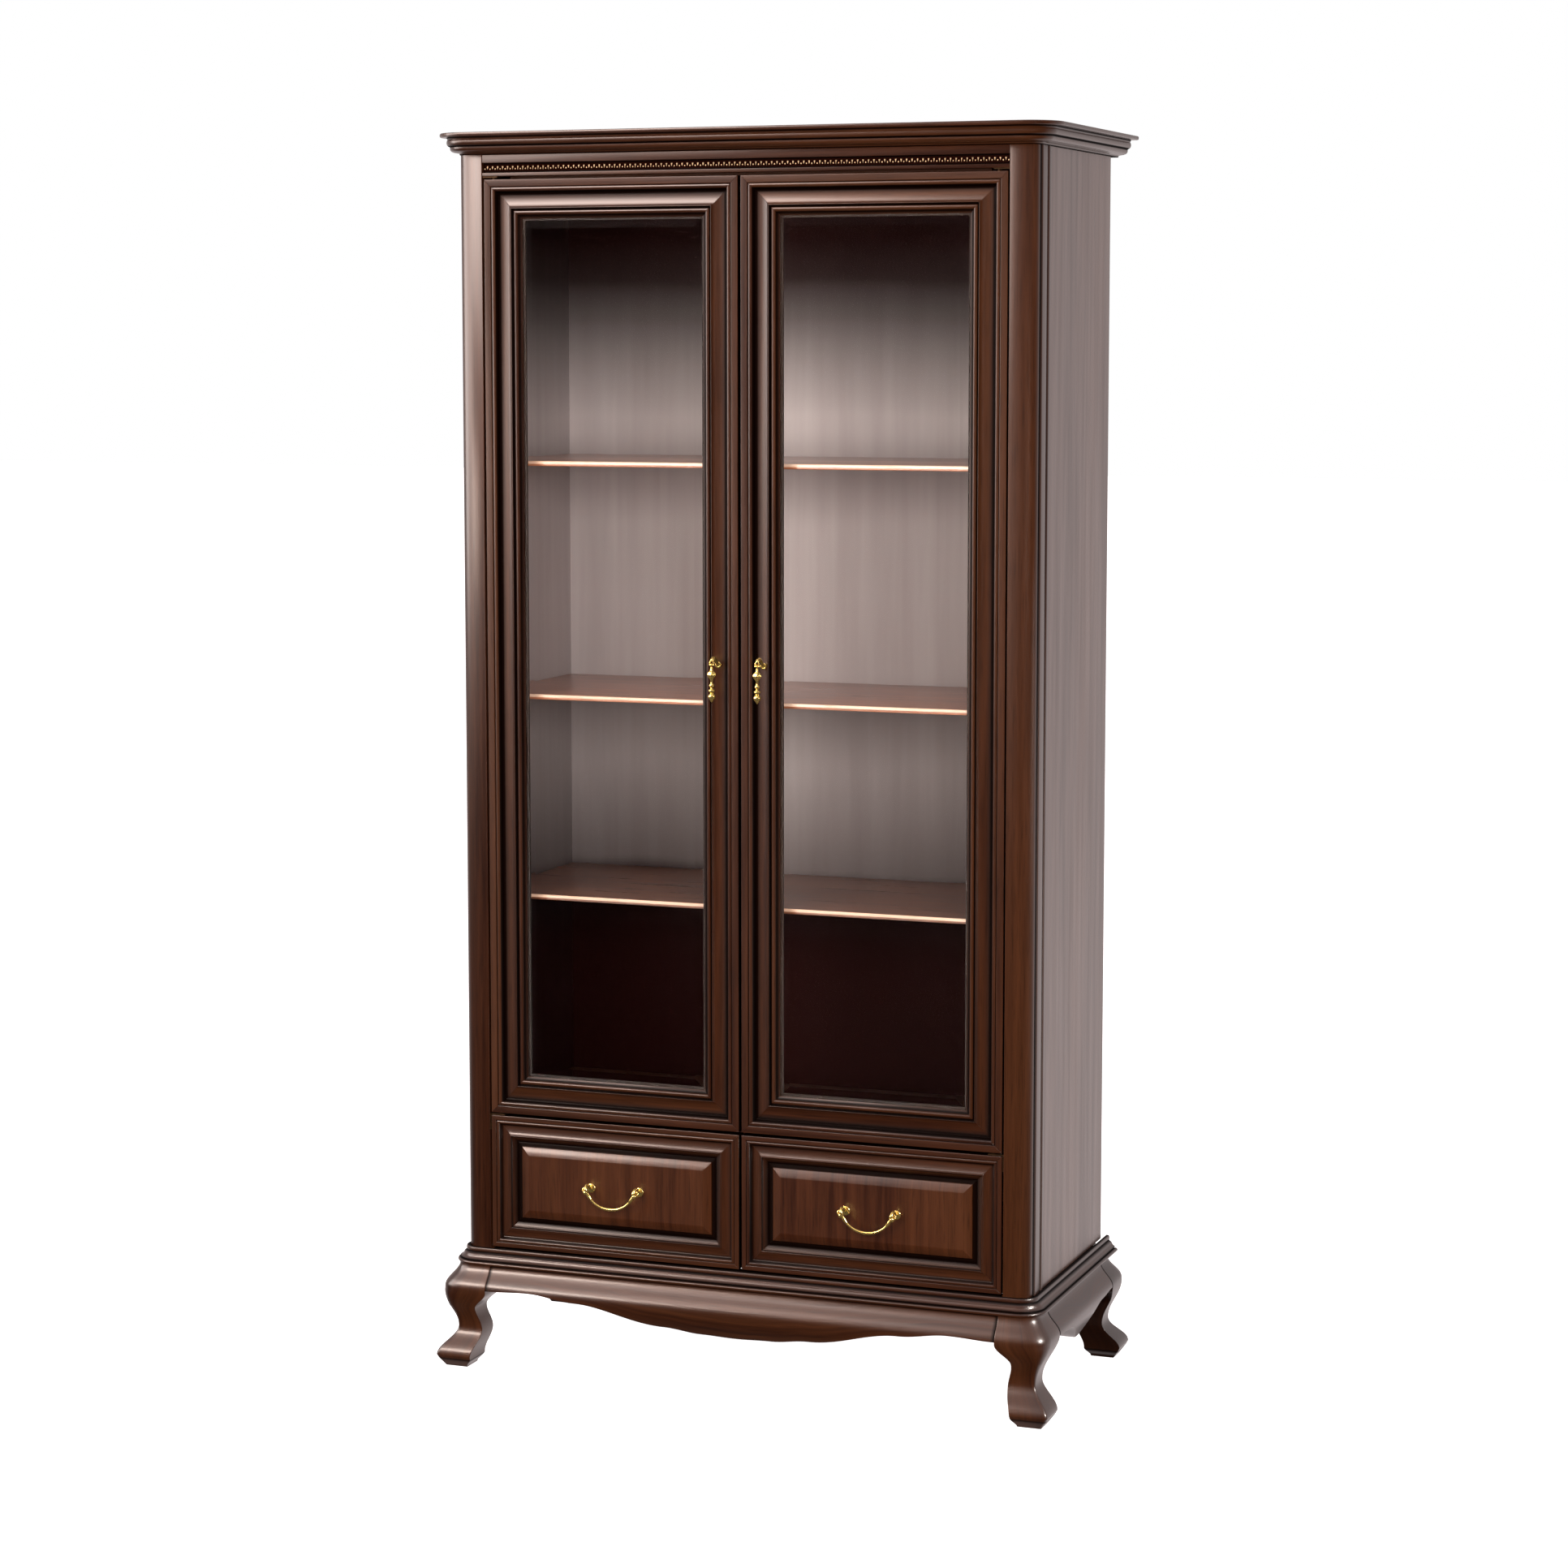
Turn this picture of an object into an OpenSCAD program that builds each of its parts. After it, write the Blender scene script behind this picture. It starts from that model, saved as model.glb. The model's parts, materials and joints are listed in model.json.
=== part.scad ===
// China cabinet with two glazed doors over two drawers, on cabriole legs.
// Millimetres, +Z up, front faces -Y, origin at the centre of the footprint.

/* [Carcass] */
// width over the corner posts
body_w = 1014; // [700:1:1300]
// depth from door face to the back edge of the side panels
body_d = 430; // [330:1:520]
// height from floor to crown
total_h = 2100; // [1600:1:2300]
// wood panel thickness of the carcass
panel_t = 18; // [12:1:25]
// width of each corner post seen from the front
post_w = 48; // [35:1:70]
// depth of the solid part of each post
post_d = 46; // [35:1:60]
// radius the mouldings turn around the front corners
corner_r = 24; // [10:1:40]
// thickness of the back panel
back_t = 6; // [4:1:12]

/* [Crown] */
// height of the crown moulding
crown_h = 29; // [20:1:60]
// thickness of the crown board
crown_board = 7; // [5:1:20]
// crown board reach past the front and sides
crown_out = 34; // [15:1:60]
// crown reach behind the side panels
crown_back = 50; // [0:1:60]
// height of the frieze rail under the crown
frieze_h = 36; // [25:1:80]
// spacing of the carved beads
bead_pitch = 9; // [7:0.5:15]

/* [Base] */
// height of the underside of the base moulding
base_z = 178; // [120:1:260]
// height of the base moulding
base_h = 28; // [18:1:50]
// base moulding reach past the body
base_out = 21; // [10:1:40]
// knee reach past the body
knee_out = 35; // [15:1:50]
// ankle reach past the body
ankle_out = 11; // [0:1:25]
// toe reach past the body
toe_out = 40; // [15:1:55]
// width of the leg block let in beside the aprons
leg_block = 52; // [40:1:80]

/* [Doors] */
// top edge of the doors
door_top = 2023; // [1500:1:2200]
// bottom edge of the doors
door_bottom = 443; // [350:1:600]
// thickness of the door frame
door_t = 22; // [16:1:30]
// width of the door frame members
door_member = 65; // [45:1:90]
// gap between door and post
side_gap = 3; // [2:0.5:5]
// gap between the two doors
mid_gap = 5; // [2:0.5:8]
// glass thickness
glass_t = 5; // [3:0.5:8]
// width of the bevel ground on the glass
glass_bevel = 22; // [0:1:35]
// pivot distance from the hinge edge
pivot_in = 16; // [12:1:25]
// pivot distance behind the door face
pivot_back = 7; // [6:1:12]
// radius of the pivot pin
pivot_r = 3; // [2:0.5:4]

/* [Drawers] */
// top edge of the drawer fronts
drawer_top = 438; // [300:1:600]
// bottom edge of the drawer fronts
drawer_bottom = 209; // [150:1:300]
// width of the drawer front frame members
drawer_member = 45; // [30:1:60]
// depth of the drawer box behind its front
drawer_len = 360; // [250:1:420]
// thickness of the drawer sides
drawer_side_t = 12; // [9:1:18]

/* [Shelves] */
// shelf thickness
shelf_t = 9; // [6:1:25]
// top of the upper shelf
shelf_top_z = 1555; // [1300:1:1800]
// top of the middle shelf
shelf_mid_z = 1160; // [900:1:1400]
// top of the lower shelf
shelf_low_z = 817; // [600:1:1000]
// setback of the shelves from the door face
shelf_setback = 50; // [30:1:90]

/* [Handles] */
// height of the door pull pivot
pull_z = 1226; // [900:1:1500]
// door pull distance from the middle of the cabinet
pull_x = 40; // [25:1:60]
// length of the hanging door pull
pull_len = 62; // [40:1:90]
// distance between the drawer pull posts
bow_w = 84; // [60:1:130]
// how far the bow hangs below its posts
bow_drop = 26; // [15:1:45]

/* [Hidden] */

wood = [0.26, 0.15, 0.10];
wood_in = [0.33, 0.22, 0.16];
brass = [0.72, 0.57, 0.30];
steel = [0.6, 0.6, 0.62];
glass_c = [0.75, 0.85, 0.85, 0.35];

hw = body_w / 2;
total_d = toe_out + body_d + crown_back;
fy = -total_d / 2 + toe_out;          // door and post face plane
by = fy + body_d;                     // back edge of the side panels
base_top = base_z + base_h;
body_top = total_h - crown_board - crown_h;
post_in = hw - post_w;                // inner face of each post
side_out = hw - 2;                    // outer face of each side panel
side_in = side_out - panel_t;
post_run = 72;                        // depth of the post with its return along the side
side_y = fy + post_run;               // where the side panel meets the post
back_y = by - 10;                     // front face of the back panel
face = fy + 1;                        // front face of doors and drawer fronts
door_w = (2 * post_in - 2 * side_gap - mid_gap) / 2;
door_h = door_top - door_bottom;
door_in = mid_gap / 2;                // inner edge of each door
glass_y = 11.2;                       // door face to the flat front of the glass
glass_edge = door_member - 5.6;       // door edge to the edge of the glass
bush_r = 5;                           // radius of the pivot bush
bush_h = 14;                          // height of the pivot bush
pivot_x = post_in - side_gap - pivot_in;
pivot_y = face + pivot_back;
pin_y0 = fy + 110;                    // front and rear rows of shelf pins
pin_y1 = by - 60;
pin_r = 3;                            // radius of the shelf pins
catch_x = 34;                         // magnet catch, from the middle of the cabinet
catch_z0 = door_top - 20;             // lowest and highest edge of the magnets
catch_z1 = door_top - 7;
apron_end = 136;                      // lower edge of the aprons where they meet the legs
apron_mid = 138;                      // the same at the front legs
far = 900;                            // longer than any part, for cutting profiles across each other
deck_z = drawer_top + 2.8 - panel_t;
box_out = post_in - side_gap - 8;     // outer side of the drawer box
box_in = 16;                          // inner side of the drawer box
box_z0 = base_top + panel_t + 7.3;
box_z1 = deck_z - 5;
box_y0 = face + door_t;               // front of the drawer box
stop_y = face + door_t + 6;           // front of the door stop rail
stop_half = 420;                      // half the length of the door stop rail
carcass_y = face + door_t + 0.5;      // front edge of the boards behind doors and drawers

module box(x0, x1, y0, y1, z0, z1) {
  translate([x0, y0, z0]) cube([x1 - x0, y1 - y0, z1 - z0]);
}
// profile drawn as (y, z), run along X
module run_x(x0, x1) {
  translate([x0, 0, 0]) rotate([90, 0, 90]) linear_extrude(height = x1 - x0) children();
}
// profile drawn as (x, z), run along Y
module run_y(y0, y1) {
  translate([0, y1, 0]) rotate([90, 0, 0]) linear_extrude(height = y1 - y0) children();
}
// profile drawn as (x, y), run along Z
module run_z(z0, z1) { translate([0, 0, z0]) linear_extrude(height = z1 - z0) children(); }
module mirror_x(right) {
  if (right) children(); else mirror([1, 0, 0]) children();
}

// smooth line through key points (height, value) with level turns at each key
function ease(k, i, t) = k[i][1] + (k[i + 1][1] - k[i][1]) * (1 - cos(180 * t)) / 2;
function smooth(k, n) = [for (i = [0 : len(k) - 2]) for (j = [0 : n - 1])
  [ease(k, i, j / n), k[i][0] + (k[i + 1][0] - k[i][0]) * j / n]];

// ---------- carcass ----------
module side_panel(right) {
  color(wood) mirror_x(right) difference() {
    box(side_in, side_out, side_y, by, base_top, body_top);
    box(side_in - 1, side_in + 8.2, back_y - 0.2, by + 1, base_top + 4, body_top - 4);
    for (z = [shelf_top_z, shelf_mid_z, shelf_low_z], y = [pin_y0, pin_y1])
      translate([side_in - 1, y, z - shelf_t - pin_r - 0.1]) rotate([0, 90, 0])
        cylinder(r = pin_r + 0.05, h = 7);
  }
}
module left_side_panel() { side_panel(false); }
module right_side_panel() { side_panel(true); }

post_curve = [for (a = [90 : -7.5 : 0]) [hw - 34 + 31 * cos(a), fy + 17 - 17 * sin(a)]];
module corner_post(right) {
  color(wood) mirror_x(right) run_z(base_top, body_top) polygon(concat(
      [[post_in, fy]], post_curve,
      [[hw - 3, fy + 20], [hw, fy + 24], [hw, fy + 48], [hw - 2.5, fy + 51],
       [hw - 2.5, fy + 57], [hw, fy + 60], [hw, fy + 68], [hw - 2, side_y],
       [side_in, side_y], [side_in, fy + post_d], [post_in, fy + post_d]]));
}
module left_corner_post() { corner_post(false); }
module right_corner_post() { corner_post(true); }

// carcass board notched around the posts
module board(y0, z0, t) {
  run_z(z0, z0 + t) polygon([
    [-post_in, y0], [post_in, y0], [post_in, fy + post_d], [side_in, fy + post_d],
    [side_in, back_y], [-side_in, back_y], [-side_in, fy + post_d], [-post_in, fy + post_d]]);
}
module top_panel() { color(wood_in) board(fy + 22, body_top - panel_t, panel_t); }
module deck_panel() { color(wood_in) board(carcass_y, deck_z, panel_t); }
module bottom_panel() { color(wood_in) board(carcass_y, base_top, panel_t); }
module drawer_divider() {
  color(wood_in) box(-panel_t / 2, panel_t / 2, carcass_y, back_y, base_top + panel_t, deck_z);
}
module back_panel() {
  color(wood_in) box(-side_in - 8, side_in + 8, back_y, back_y + back_t,
                     base_top + 4.5, body_top - 4.5);
}

// ---------- frieze and crown ----------
strip_z = body_top - 22;              // middle of the carved strip
module frieze_rail() {
  z0 = body_top - frieze_h;
  color(wood) run_x(-post_in, post_in) polygon([
    [fy + 22, z0], [fy + 2, z0], [fy + 1, z0 + 1], [fy + 1, z0 + 5], [fy + 2, z0 + 6],
    [fy + 9, z0 + 6], [fy + 9, body_top - 14], [fy + 2, body_top - 14],
    [fy + 1, body_top - 12.5], [fy + 1, body_top], [fy + 22, body_top]]);
}
module carved_strip() {
  n = floor((2 * post_in - 14) / bead_pitch / 2);
  color(brass) union() {
    box(-post_in + 2, post_in - 2, fy + 7, fy + 9, strip_z - 7, strip_z + 7);
    for (i = [-n : n]) translate([i * bead_pitch, fy + 7.2, strip_z])
      rotate([90, 0, 0]) cylinder(r1 = 3.9, r2 = 1.8, h = 4);
  }
}
module door_stop_rail() {
  color(wood) box(-stop_half, stop_half, stop_y, stop_y + 18, door_top - 22, body_top - panel_t);
}

crown_profile = concat([[-20, body_top], [0, body_top], [1.5, body_top + 3], [11, body_top + 5]],
  [for (a = [0 : 15 : 90]) [11 + 6 * sin(a), body_top + 11 - 6 * cos(a)]],
  [[17, body_top + 14], [20, body_top + 15]],
  [for (a = [-60 : 20 : 60]) [19.5 + 3 * cos(a), body_top + 20.5 + 5.5 * sin(a)]],
  [[23, body_top + crown_h], [-20, body_top + crown_h]]);
base_profile = concat([[0, base_z], [base_out - 4, base_z]],
  [for (a = [-75 : 25 : 75]) [base_out - 3 + 3 * cos(a), base_z + 3.4 + 3.2 * sin(a)]],
  [[base_out - 6, base_z + 7], [base_out - 6, base_z + 8.4]],
  [for (a = [75 : -15 : 15]) [base_out - 6 - 10 * cos(a), base_z + 18.5 - 10 * sin(a)]],
  [[4, base_z + 20], [5, base_top - 2], [4, base_top], [0, base_top]]);

module front_pts(p) { polygon([for (q = p) [fy - q[0], q[1]]]); }
module side_pts(p) { polygon([for (q = p) [hw + q[0], q[1]]]); }
// moulding around the front and both sides, turned around the front corners
module around(p, back) {
  cx = hw - corner_r;
  cy = fy + corner_r;
  run_x(-cx, cx) front_pts(p);
  for (s = [false, true]) mirror_x(s) {
    run_y(cy, back) side_pts(p);
    translate([cx, cy, 0]) rotate([0, 0, -90]) rotate_extrude(angle = 90)
      polygon([for (q = p) [corner_r + q[0], q[1]]]);
  }
}
module cornice_moulding() { color(wood) around(crown_profile, by + crown_back - 12); }
module cornice_top_board() {
  r = corner_r + crown_out;
  cx = hw - corner_r;
  cy = fy + corner_r;
  z0 = total_h - crown_board;
  color(wood) union() {
    box(-cx, cx, fy - crown_out, cy, z0, total_h);
    box(-hw - crown_out, hw + crown_out, cy, by + crown_back, z0, total_h);
    for (s = [-1, 1]) translate([s * cx, cy, z0]) cylinder(r = r, h = crown_board, $fn = 96);
  }
}
module base_moulding() { color(wood) around(base_profile, by + 28); }

// ---------- legs and aprons ----------
// reach of the leg past the body plane, by height
out_keys = [[0, toe_out - 13], [20, toe_out], [66, ankle_out], [138, knee_out],
            [base_z, ankle_out + 2]];
// inner edge of the leg measured inboard of the body plane, by height
in_keys = [[0, 14], [16, 24], [60, 35], [100, 27], [134, leg_block]];
function out_line() = concat([[toe_out - 13, 0], [toe_out - 3, 14], [toe_out, 20]],
  [for (q = smooth([for (i = [1 : 4]) out_keys[i]], 10)) if (q[1] > 20) q],
  [[ankle_out + 2, base_z], [-8, base_z], [-8, base_top]]);
function in_line() = concat([[leg_block, base_top], [leg_block, 134]],
  [for (i = [39 : -1 : 1]) let (q = smooth(in_keys, 10)[i]) q],
  [[14, 0]]);
leg_side = concat(out_line(), [for (q = in_line()) [-q[0], q[1]]]);
module leg(right, back) {
  color(wood) mirror_x(right) intersection() {
    run_y(-far, far) polygon([for (q = leg_side) [hw + q[0], q[1]]]);
    run_x(0, far) polygon([for (q = leg_side) [back ? by + q[0] : fy - q[0], q[1]]]);
  }
}
module front_left_leg() { leg(false, false); }
module front_right_leg() { leg(true, false); }
module back_left_leg() { leg(false, true); }
module back_right_leg() { leg(true, true); }

bulge = concat([[-20, 60]], [for (q = smooth([for (i = [2 : 4]) out_keys[i]], 10)) q],
  [[ankle_out + 2, base_z], [0, base_z], [0, base_top], [-20, base_top]]);
front_edge = smooth([[0, 95], [62, 97], [130, 104], [290, 132], [375, 141],
                     [hw - leg_block, apron_mid]], 6);
side_edge = smooth([[0, 90], [98, 131], [body_d / 2 - leg_block, apron_end]], 8);
// lower edge drawn both ways from the middle
function lobes(e, half, z_end) = concat(
  [[-half, base_top + 1], [-half, z_end]],
  [for (i = [len(e) - 1 : -1 : 0]) [-e[i][1], e[i][0]]],
  [for (i = [1 : len(e) - 1]) [e[i][1], e[i][0]]],
  [[half, z_end], [half, base_top + 1]]);
module front_apron() {
  color(wood) intersection() {
    run_x(-hw + leg_block, hw - leg_block) front_pts(bulge);
    run_y(-far, far) polygon(lobes(front_edge, hw - leg_block, apron_mid));
  }
}
module side_and_rear_aprons() {
  color(wood) union() {
    for (s = [false, true]) mirror_x(s) intersection() {
      run_y(fy + leg_block, by - leg_block) side_pts(bulge);
      translate([0, (fy + by) / 2, 0])
        run_x(0, far) polygon(lobes(side_edge, body_d / 2 - leg_block, apron_end));
    }
    box(-hw + leg_block, hw - leg_block, by - 20, by, 110, base_top);
  }
}

// ---------- shelves and fittings ----------
module shelf(z) {
  color(wood) box(-side_in + 1, side_in - 1, fy + shelf_setback, back_y - 1, z - shelf_t, z);
}
module upper_shelf() { shelf(shelf_top_z); }
module middle_shelf() { shelf(shelf_mid_z); }
module lower_shelf() { shelf(shelf_low_z); }
module shelf_pins() {
  color(brass) for (s = [false, true]) mirror_x(s)
    for (z = [shelf_top_z, shelf_mid_z, shelf_low_z], y = [pin_y0, pin_y1])
      translate([side_in - 9, y, z - shelf_t - pin_r - 0.05]) rotate([0, 90, 0])
        cylinder(r = pin_r, h = 14);
}
module drawer_runners() {
  z0 = base_top + panel_t;
  color(wood_in) for (s = [false, true]) mirror_x(s) {
    box(box_in - 2.8, box_in + drawer_side_t + 4, box_y0 + 2, box_y0 + drawer_len, z0, box_z0 - 0.3);
    box(9, box_in - 3, box_y0 + 2, box_y0 + drawer_len, z0, box_z0 + 20);
    box(box_out - drawer_side_t - 4, box_out + 2.8, box_y0 + 2, box_y0 + drawer_len, z0, box_z0 - 0.3);
    box(box_out + 3, post_in, box_y0 + 2, box_y0 + drawer_len, z0, box_z0 + 20);
  }
}
module door_pivots() {
  rail_z = body_top - frieze_h;
  plate_z = deck_z + panel_t - 2;
  color(brass) for (s = [false, true]) mirror_x(s) {
    box(pivot_x - 8, post_in, fy + 2, face + door_t - 2, rail_z - 2, rail_z);
    translate([pivot_x, pivot_y, rail_z - 14]) cylinder(r = pivot_r, h = 13);
    box(pivot_x - 8, post_in - 2, fy + 2, face + door_t - 2, plate_z, plate_z + 2);
    box(post_in - 2, post_in, fy + 2, face + door_t - 2, plate_z - 26, plate_z + 2);
    translate([pivot_x, pivot_y, plate_z + 1]) cylinder(r = pivot_r, h = 11);
  }
}
module magnet_catches() {
  color(steel) for (s = [-1, 1]) translate([s * catch_x, 0, 0])
    box(-16, 16, stop_y - 4.2, stop_y, catch_z0, catch_z1);
}

// ---------- doors ----------
// face profile of a door member: distance from the outer edge, depth
door_face = concat([[0.6, 0], [11.6, 0], [12.4, 1.3], [13.2, 0.5]],
  [for (a = [-60 : 30 : 60]) [16 + 3.4 * sin(a), 2.4 - 2.4 * cos(a)]],
  [[19.8, 2], [24.5, 9]],
  [for (a = [0 : 11.25 : 90]) [26 + 21 * sin(a), 2.4 + 7.4 * cos(a)]],
  [[48.4, 2.4], [50.6, 7]],
  [for (a = [-90 : 30 : 90]) [55 + 3.6 * sin(a), 7 - 2.8 * cos(a)]],
  [[60.5, 8], [door_member, 11]]);
door_solid = concat([[0, 0.6]], door_face,
  [[door_member - 6, 11], [door_member - 6, door_t], [0, door_t]]);

// member standing on the outer edge x = 0, run along Z from 0 to len, mitred both ends
module member(p, len, w) {
  intersection() {
    linear_extrude(height = len) polygon(p);
    rotate([90, 0, 0]) translate([0, 0, -60])
      linear_extrude(height = 120) polygon([[0, 0], [w, w], [w, len - w], [0, len]]);
  }
}
// hinge side of a door at x = 0, door running to x = -door_w
module door_space(right) {
  mirror_x(right) translate([door_in + door_w, face, door_bottom]) children();
}
module bush_holes() {
  for (z = [-1, door_h - bush_h]) translate([-pivot_in, pivot_back, z])
    cylinder(r = bush_r, h = bush_h + 1);
}
module hinge_stile(right) {
  color(wood) door_space(right) difference() {
    mirror([1, 0, 0]) member(door_solid, door_h, door_member);
    bush_holes();
  }
}
module meeting_stile(right) {
  color(wood) door_space(right) translate([-door_w, 0, 0]) difference() {
    member(door_solid, door_h, door_member);
    translate([pull_x - door_in, 0, pull_z - door_bottom]) rotate([-90, 0, 0])
      cylinder(r = 2.6, h = 40);
  }
}
module door_rail(right, top) {
  color(wood) door_space(right) difference() {
    translate([0, 0, top ? door_h : 0]) rotate([0, -90, 0])
      mirror([top ? 1 : 0, 0, 0]) member(door_solid, door_w, door_member);
    bush_holes();
  }
}
module door_glass(right) {
  front = glass_y;
  rim = glass_y + 1.9;                // front of the ground edge
  rear = glass_y + glass_t;
  b = glass_bevel;
  color(glass_c) door_space(right) translate([-door_w / 2, 0, door_h / 2]) {
    w = door_w / 2 - glass_edge;
    h = door_h / 2 - glass_edge;
    polyhedron(points = [
      [-w, rim, -h], [w, rim, -h], [w, rim, h], [-w, rim, h],
      [-w + b, front, -h + b], [w - b, front, -h + b], [w - b, front, h - b], [-w + b, front, h - b],
      [-w, rear, -h], [w, rear, -h], [w, rear, h], [-w, rear, h]],
      faces = [[4, 5, 6, 7], [0, 1, 5, 4], [1, 2, 6, 5], [2, 3, 7, 6], [3, 0, 4, 7],
               [11, 10, 9, 8], [8, 9, 1, 0], [9, 10, 2, 1], [10, 11, 3, 2], [11, 8, 0, 3]]);
  }
}
module glazing_beads(right) {
  g = glass_edge;
  y0 = glass_y + glass_t + 0.1;
  color(wood) door_space(right) difference() {
    box(-door_w + g, -g, y0, door_t, g, door_h - g);
    box(-door_w + g + 9, -g - 9, y0 - 1, door_t + 1, g + 9, door_h - g - 9);
  }
}
module door_bushes(right) {
  color(brass) door_space(right) for (z = [0, door_h - bush_h])
    translate([-pivot_in, pivot_back, z]) difference() {
      cylinder(r = bush_r - 0.05, h = bush_h);
      translate([0, 0, -1]) cylinder(r = pivot_r + 0.06, h = bush_h + 2);
    }
}
module door_strike(right) {
  color(steel) mirror_x(right) box(catch_x - 12, catch_x + 12, face + door_t, face + door_t + 1.4,
                                   catch_z0, catch_z1);
}

// turned pendant drawn from its pivot downwards: radius, distance below the pivot
drop_pts = [[0, 3], [2.2, 3.4], [2.6, 8], [5.6, 14], [6.2, 17], [4.6, 20], [2.4, 24], [1.9, 29],
            [3.4, 32], [4.4, 34], [3.4, 36.4], [2.6, 38], [3.8, 40], [5, 42], [3.8, 44.4],
            [2.8, 46], [5.2, 49], [6.3, 52], [5.2, 55.4], [2.6, 58], [1.8, 60], [0, pull_len]];
pull_y = fy - 22;                     // depth of the pull pivot
eye = 5.4;                            // half the width of the fork that holds the drop
module pull_mount(right) {
  color(brass) mirror_x(right) translate([pull_x, 0, pull_z]) {
    translate([0, face + 2.4, 0]) rotate([90, 0, 0]) cylinder(r = 9, h = 2.2);
    translate([0, face + 0.3, 0]) rotate([90, 0, 0]) cylinder(r1 = 7, r2 = 3.4, h = 4);
    translate([0, face + 14, 0]) rotate([90, 0, 0]) cylinder(r = 2.5, h = face - pull_y + 7.5);
    box(-eye, eye, pull_y + 3.6, pull_y + 7.2, -4, 4);
    for (x = [-eye, 3]) box(x, x + eye - 3, pull_y - 3.4, pull_y + 3.6, -3.6, 3.6);
    translate([-eye - 0.4, pull_y, 0]) rotate([0, 90, 0]) cylinder(r = 1.5, h = 2 * eye + 0.8);
  }
}
module pull_drop(right) {
  color(brass) mirror_x(right) translate([pull_x, pull_y, pull_z]) difference() {
    union() {
      translate([-2.6, 0, 0]) rotate([0, 90, 0]) cylinder(r = 3.4, h = 5.2);
      rotate_extrude() polygon([for (q = drop_pts) [q[0], -q[1]]]);
    }
    translate([-4, 0, 0]) rotate([0, 90, 0]) cylinder(r = 1.56, h = 8);
  }
}
module left_door_hinge_stile() { hinge_stile(false); }
module left_door_meeting_stile() { meeting_stile(false); }
module left_door_top_rail() { door_rail(false, true); }
module left_door_bottom_rail() { door_rail(false, false); }
module left_door_glass() { door_glass(false); }
module left_door_glazing_beads() { glazing_beads(false); }
module left_door_bushes() { door_bushes(false); }
module left_door_strike() { door_strike(false); }
module left_pull_mount() { pull_mount(false); }
module left_pull_drop() { pull_drop(false); }
module right_door_hinge_stile() { hinge_stile(true); }
module right_door_meeting_stile() { meeting_stile(true); }
module right_door_top_rail() { door_rail(true, true); }
module right_door_bottom_rail() { door_rail(true, false); }
module right_door_glass() { door_glass(true); }
module right_door_glazing_beads() { glazing_beads(true); }
module right_door_bushes() { door_bushes(true); }
module right_door_strike() { door_strike(true); }
module right_pull_mount() { pull_mount(true); }
module right_pull_drop() { pull_drop(true); }

// ---------- drawers ----------
drawer_face = concat([[0.6, 0], [7.6, 0], [8.4, 1.2], [9, 0.5]],
  [for (a = [-60 : 30 : 60]) [11.4 + 2.6 * sin(a), 2 - 2 * cos(a)]],
  [[14.2, 1.6], [17.6, 7]],
  [for (a = [0 : 15 : 90]) [18.6 + 15 * sin(a), 2 + 5.4 * cos(a)]],
  [[35, 2], [37, 6], [38.5, 6.6], [drawer_member, 10]]);
drawer_solid = concat([[0, 0.6]], drawer_face, [[drawer_member, door_t], [0, door_t]]);
drawer_h = drawer_top - drawer_bottom;
module drawer_space(right) {
  mirror_x(right) translate([door_in, face, drawer_bottom]) children();
}
module front_frame(right) {
  color(wood) drawer_space(right) {
    member(drawer_solid, drawer_h, drawer_member);
    translate([door_w, 0, 0]) mirror([1, 0, 0]) member(drawer_solid, drawer_h, drawer_member);
    translate([door_w, 0, 0]) rotate([0, -90, 0]) member(drawer_solid, door_w, drawer_member);
    translate([door_w, 0, drawer_h]) rotate([0, -90, 0]) mirror([1, 0, 0])
      member(drawer_solid, door_w, drawer_member);
  }
}
// raised panel: border flat, bevel, raised field
module front_panel(right) {
  w = door_w / 2 - drawer_member;
  h = drawer_h / 2 - drawer_member;
  color(wood) drawer_space(right) translate([door_w / 2, 0, drawer_h / 2]) difference() {
    intersection() {
      run_x(-w, w) polygon([[door_t, -h], [11, -h], [11, -h + 7], [9, -h + 8], [4.4, -h + 22],
        [4.4, h - 22], [9, h - 8], [11, h - 7], [11, h], [door_t, h]]);
      run_z(-h, h) polygon([[-w, door_t], [-w, 11], [-w + 7, 11], [-w + 8, 9], [-w + 22, 4.4],
        [w - 22, 4.4], [w - 8, 9], [w - 7, 11], [w, 11], [w, door_t]]);
    }
    for (s = [-1, 1]) translate([s * bow_w / 2, -5, -2]) rotate([-90, 0, 0])
      cylinder(r = 2.6, h = 40);
  }
}
module drawer_sides(right) {
  color(wood_in) mirror_x(right) for (x = [box_in, box_out - drawer_side_t]) difference() {
    box(x, x + drawer_side_t, box_y0, box_y0 + drawer_len, box_z0, box_z1);
    box(box_in + 7, box_out - 7, box_y0 - 1, box_y0 + drawer_len + 1, box_z0 + 9.8, box_z0 + 16.2);
  }
}
module drawer_back(right) {
  color(wood_in) mirror_x(right) box(box_in + drawer_side_t, box_out - drawer_side_t,
    box_y0 + drawer_len - 14, box_y0 + drawer_len, box_z0 + 16.2, box_z1);
}
module drawer_bottom_board(right) {
  color(wood_in) mirror_x(right) box(box_in + 7.5, box_out - 7.5, box_y0,
    box_y0 + drawer_len, box_z0 + 10, box_z0 + 16);
}
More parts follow.
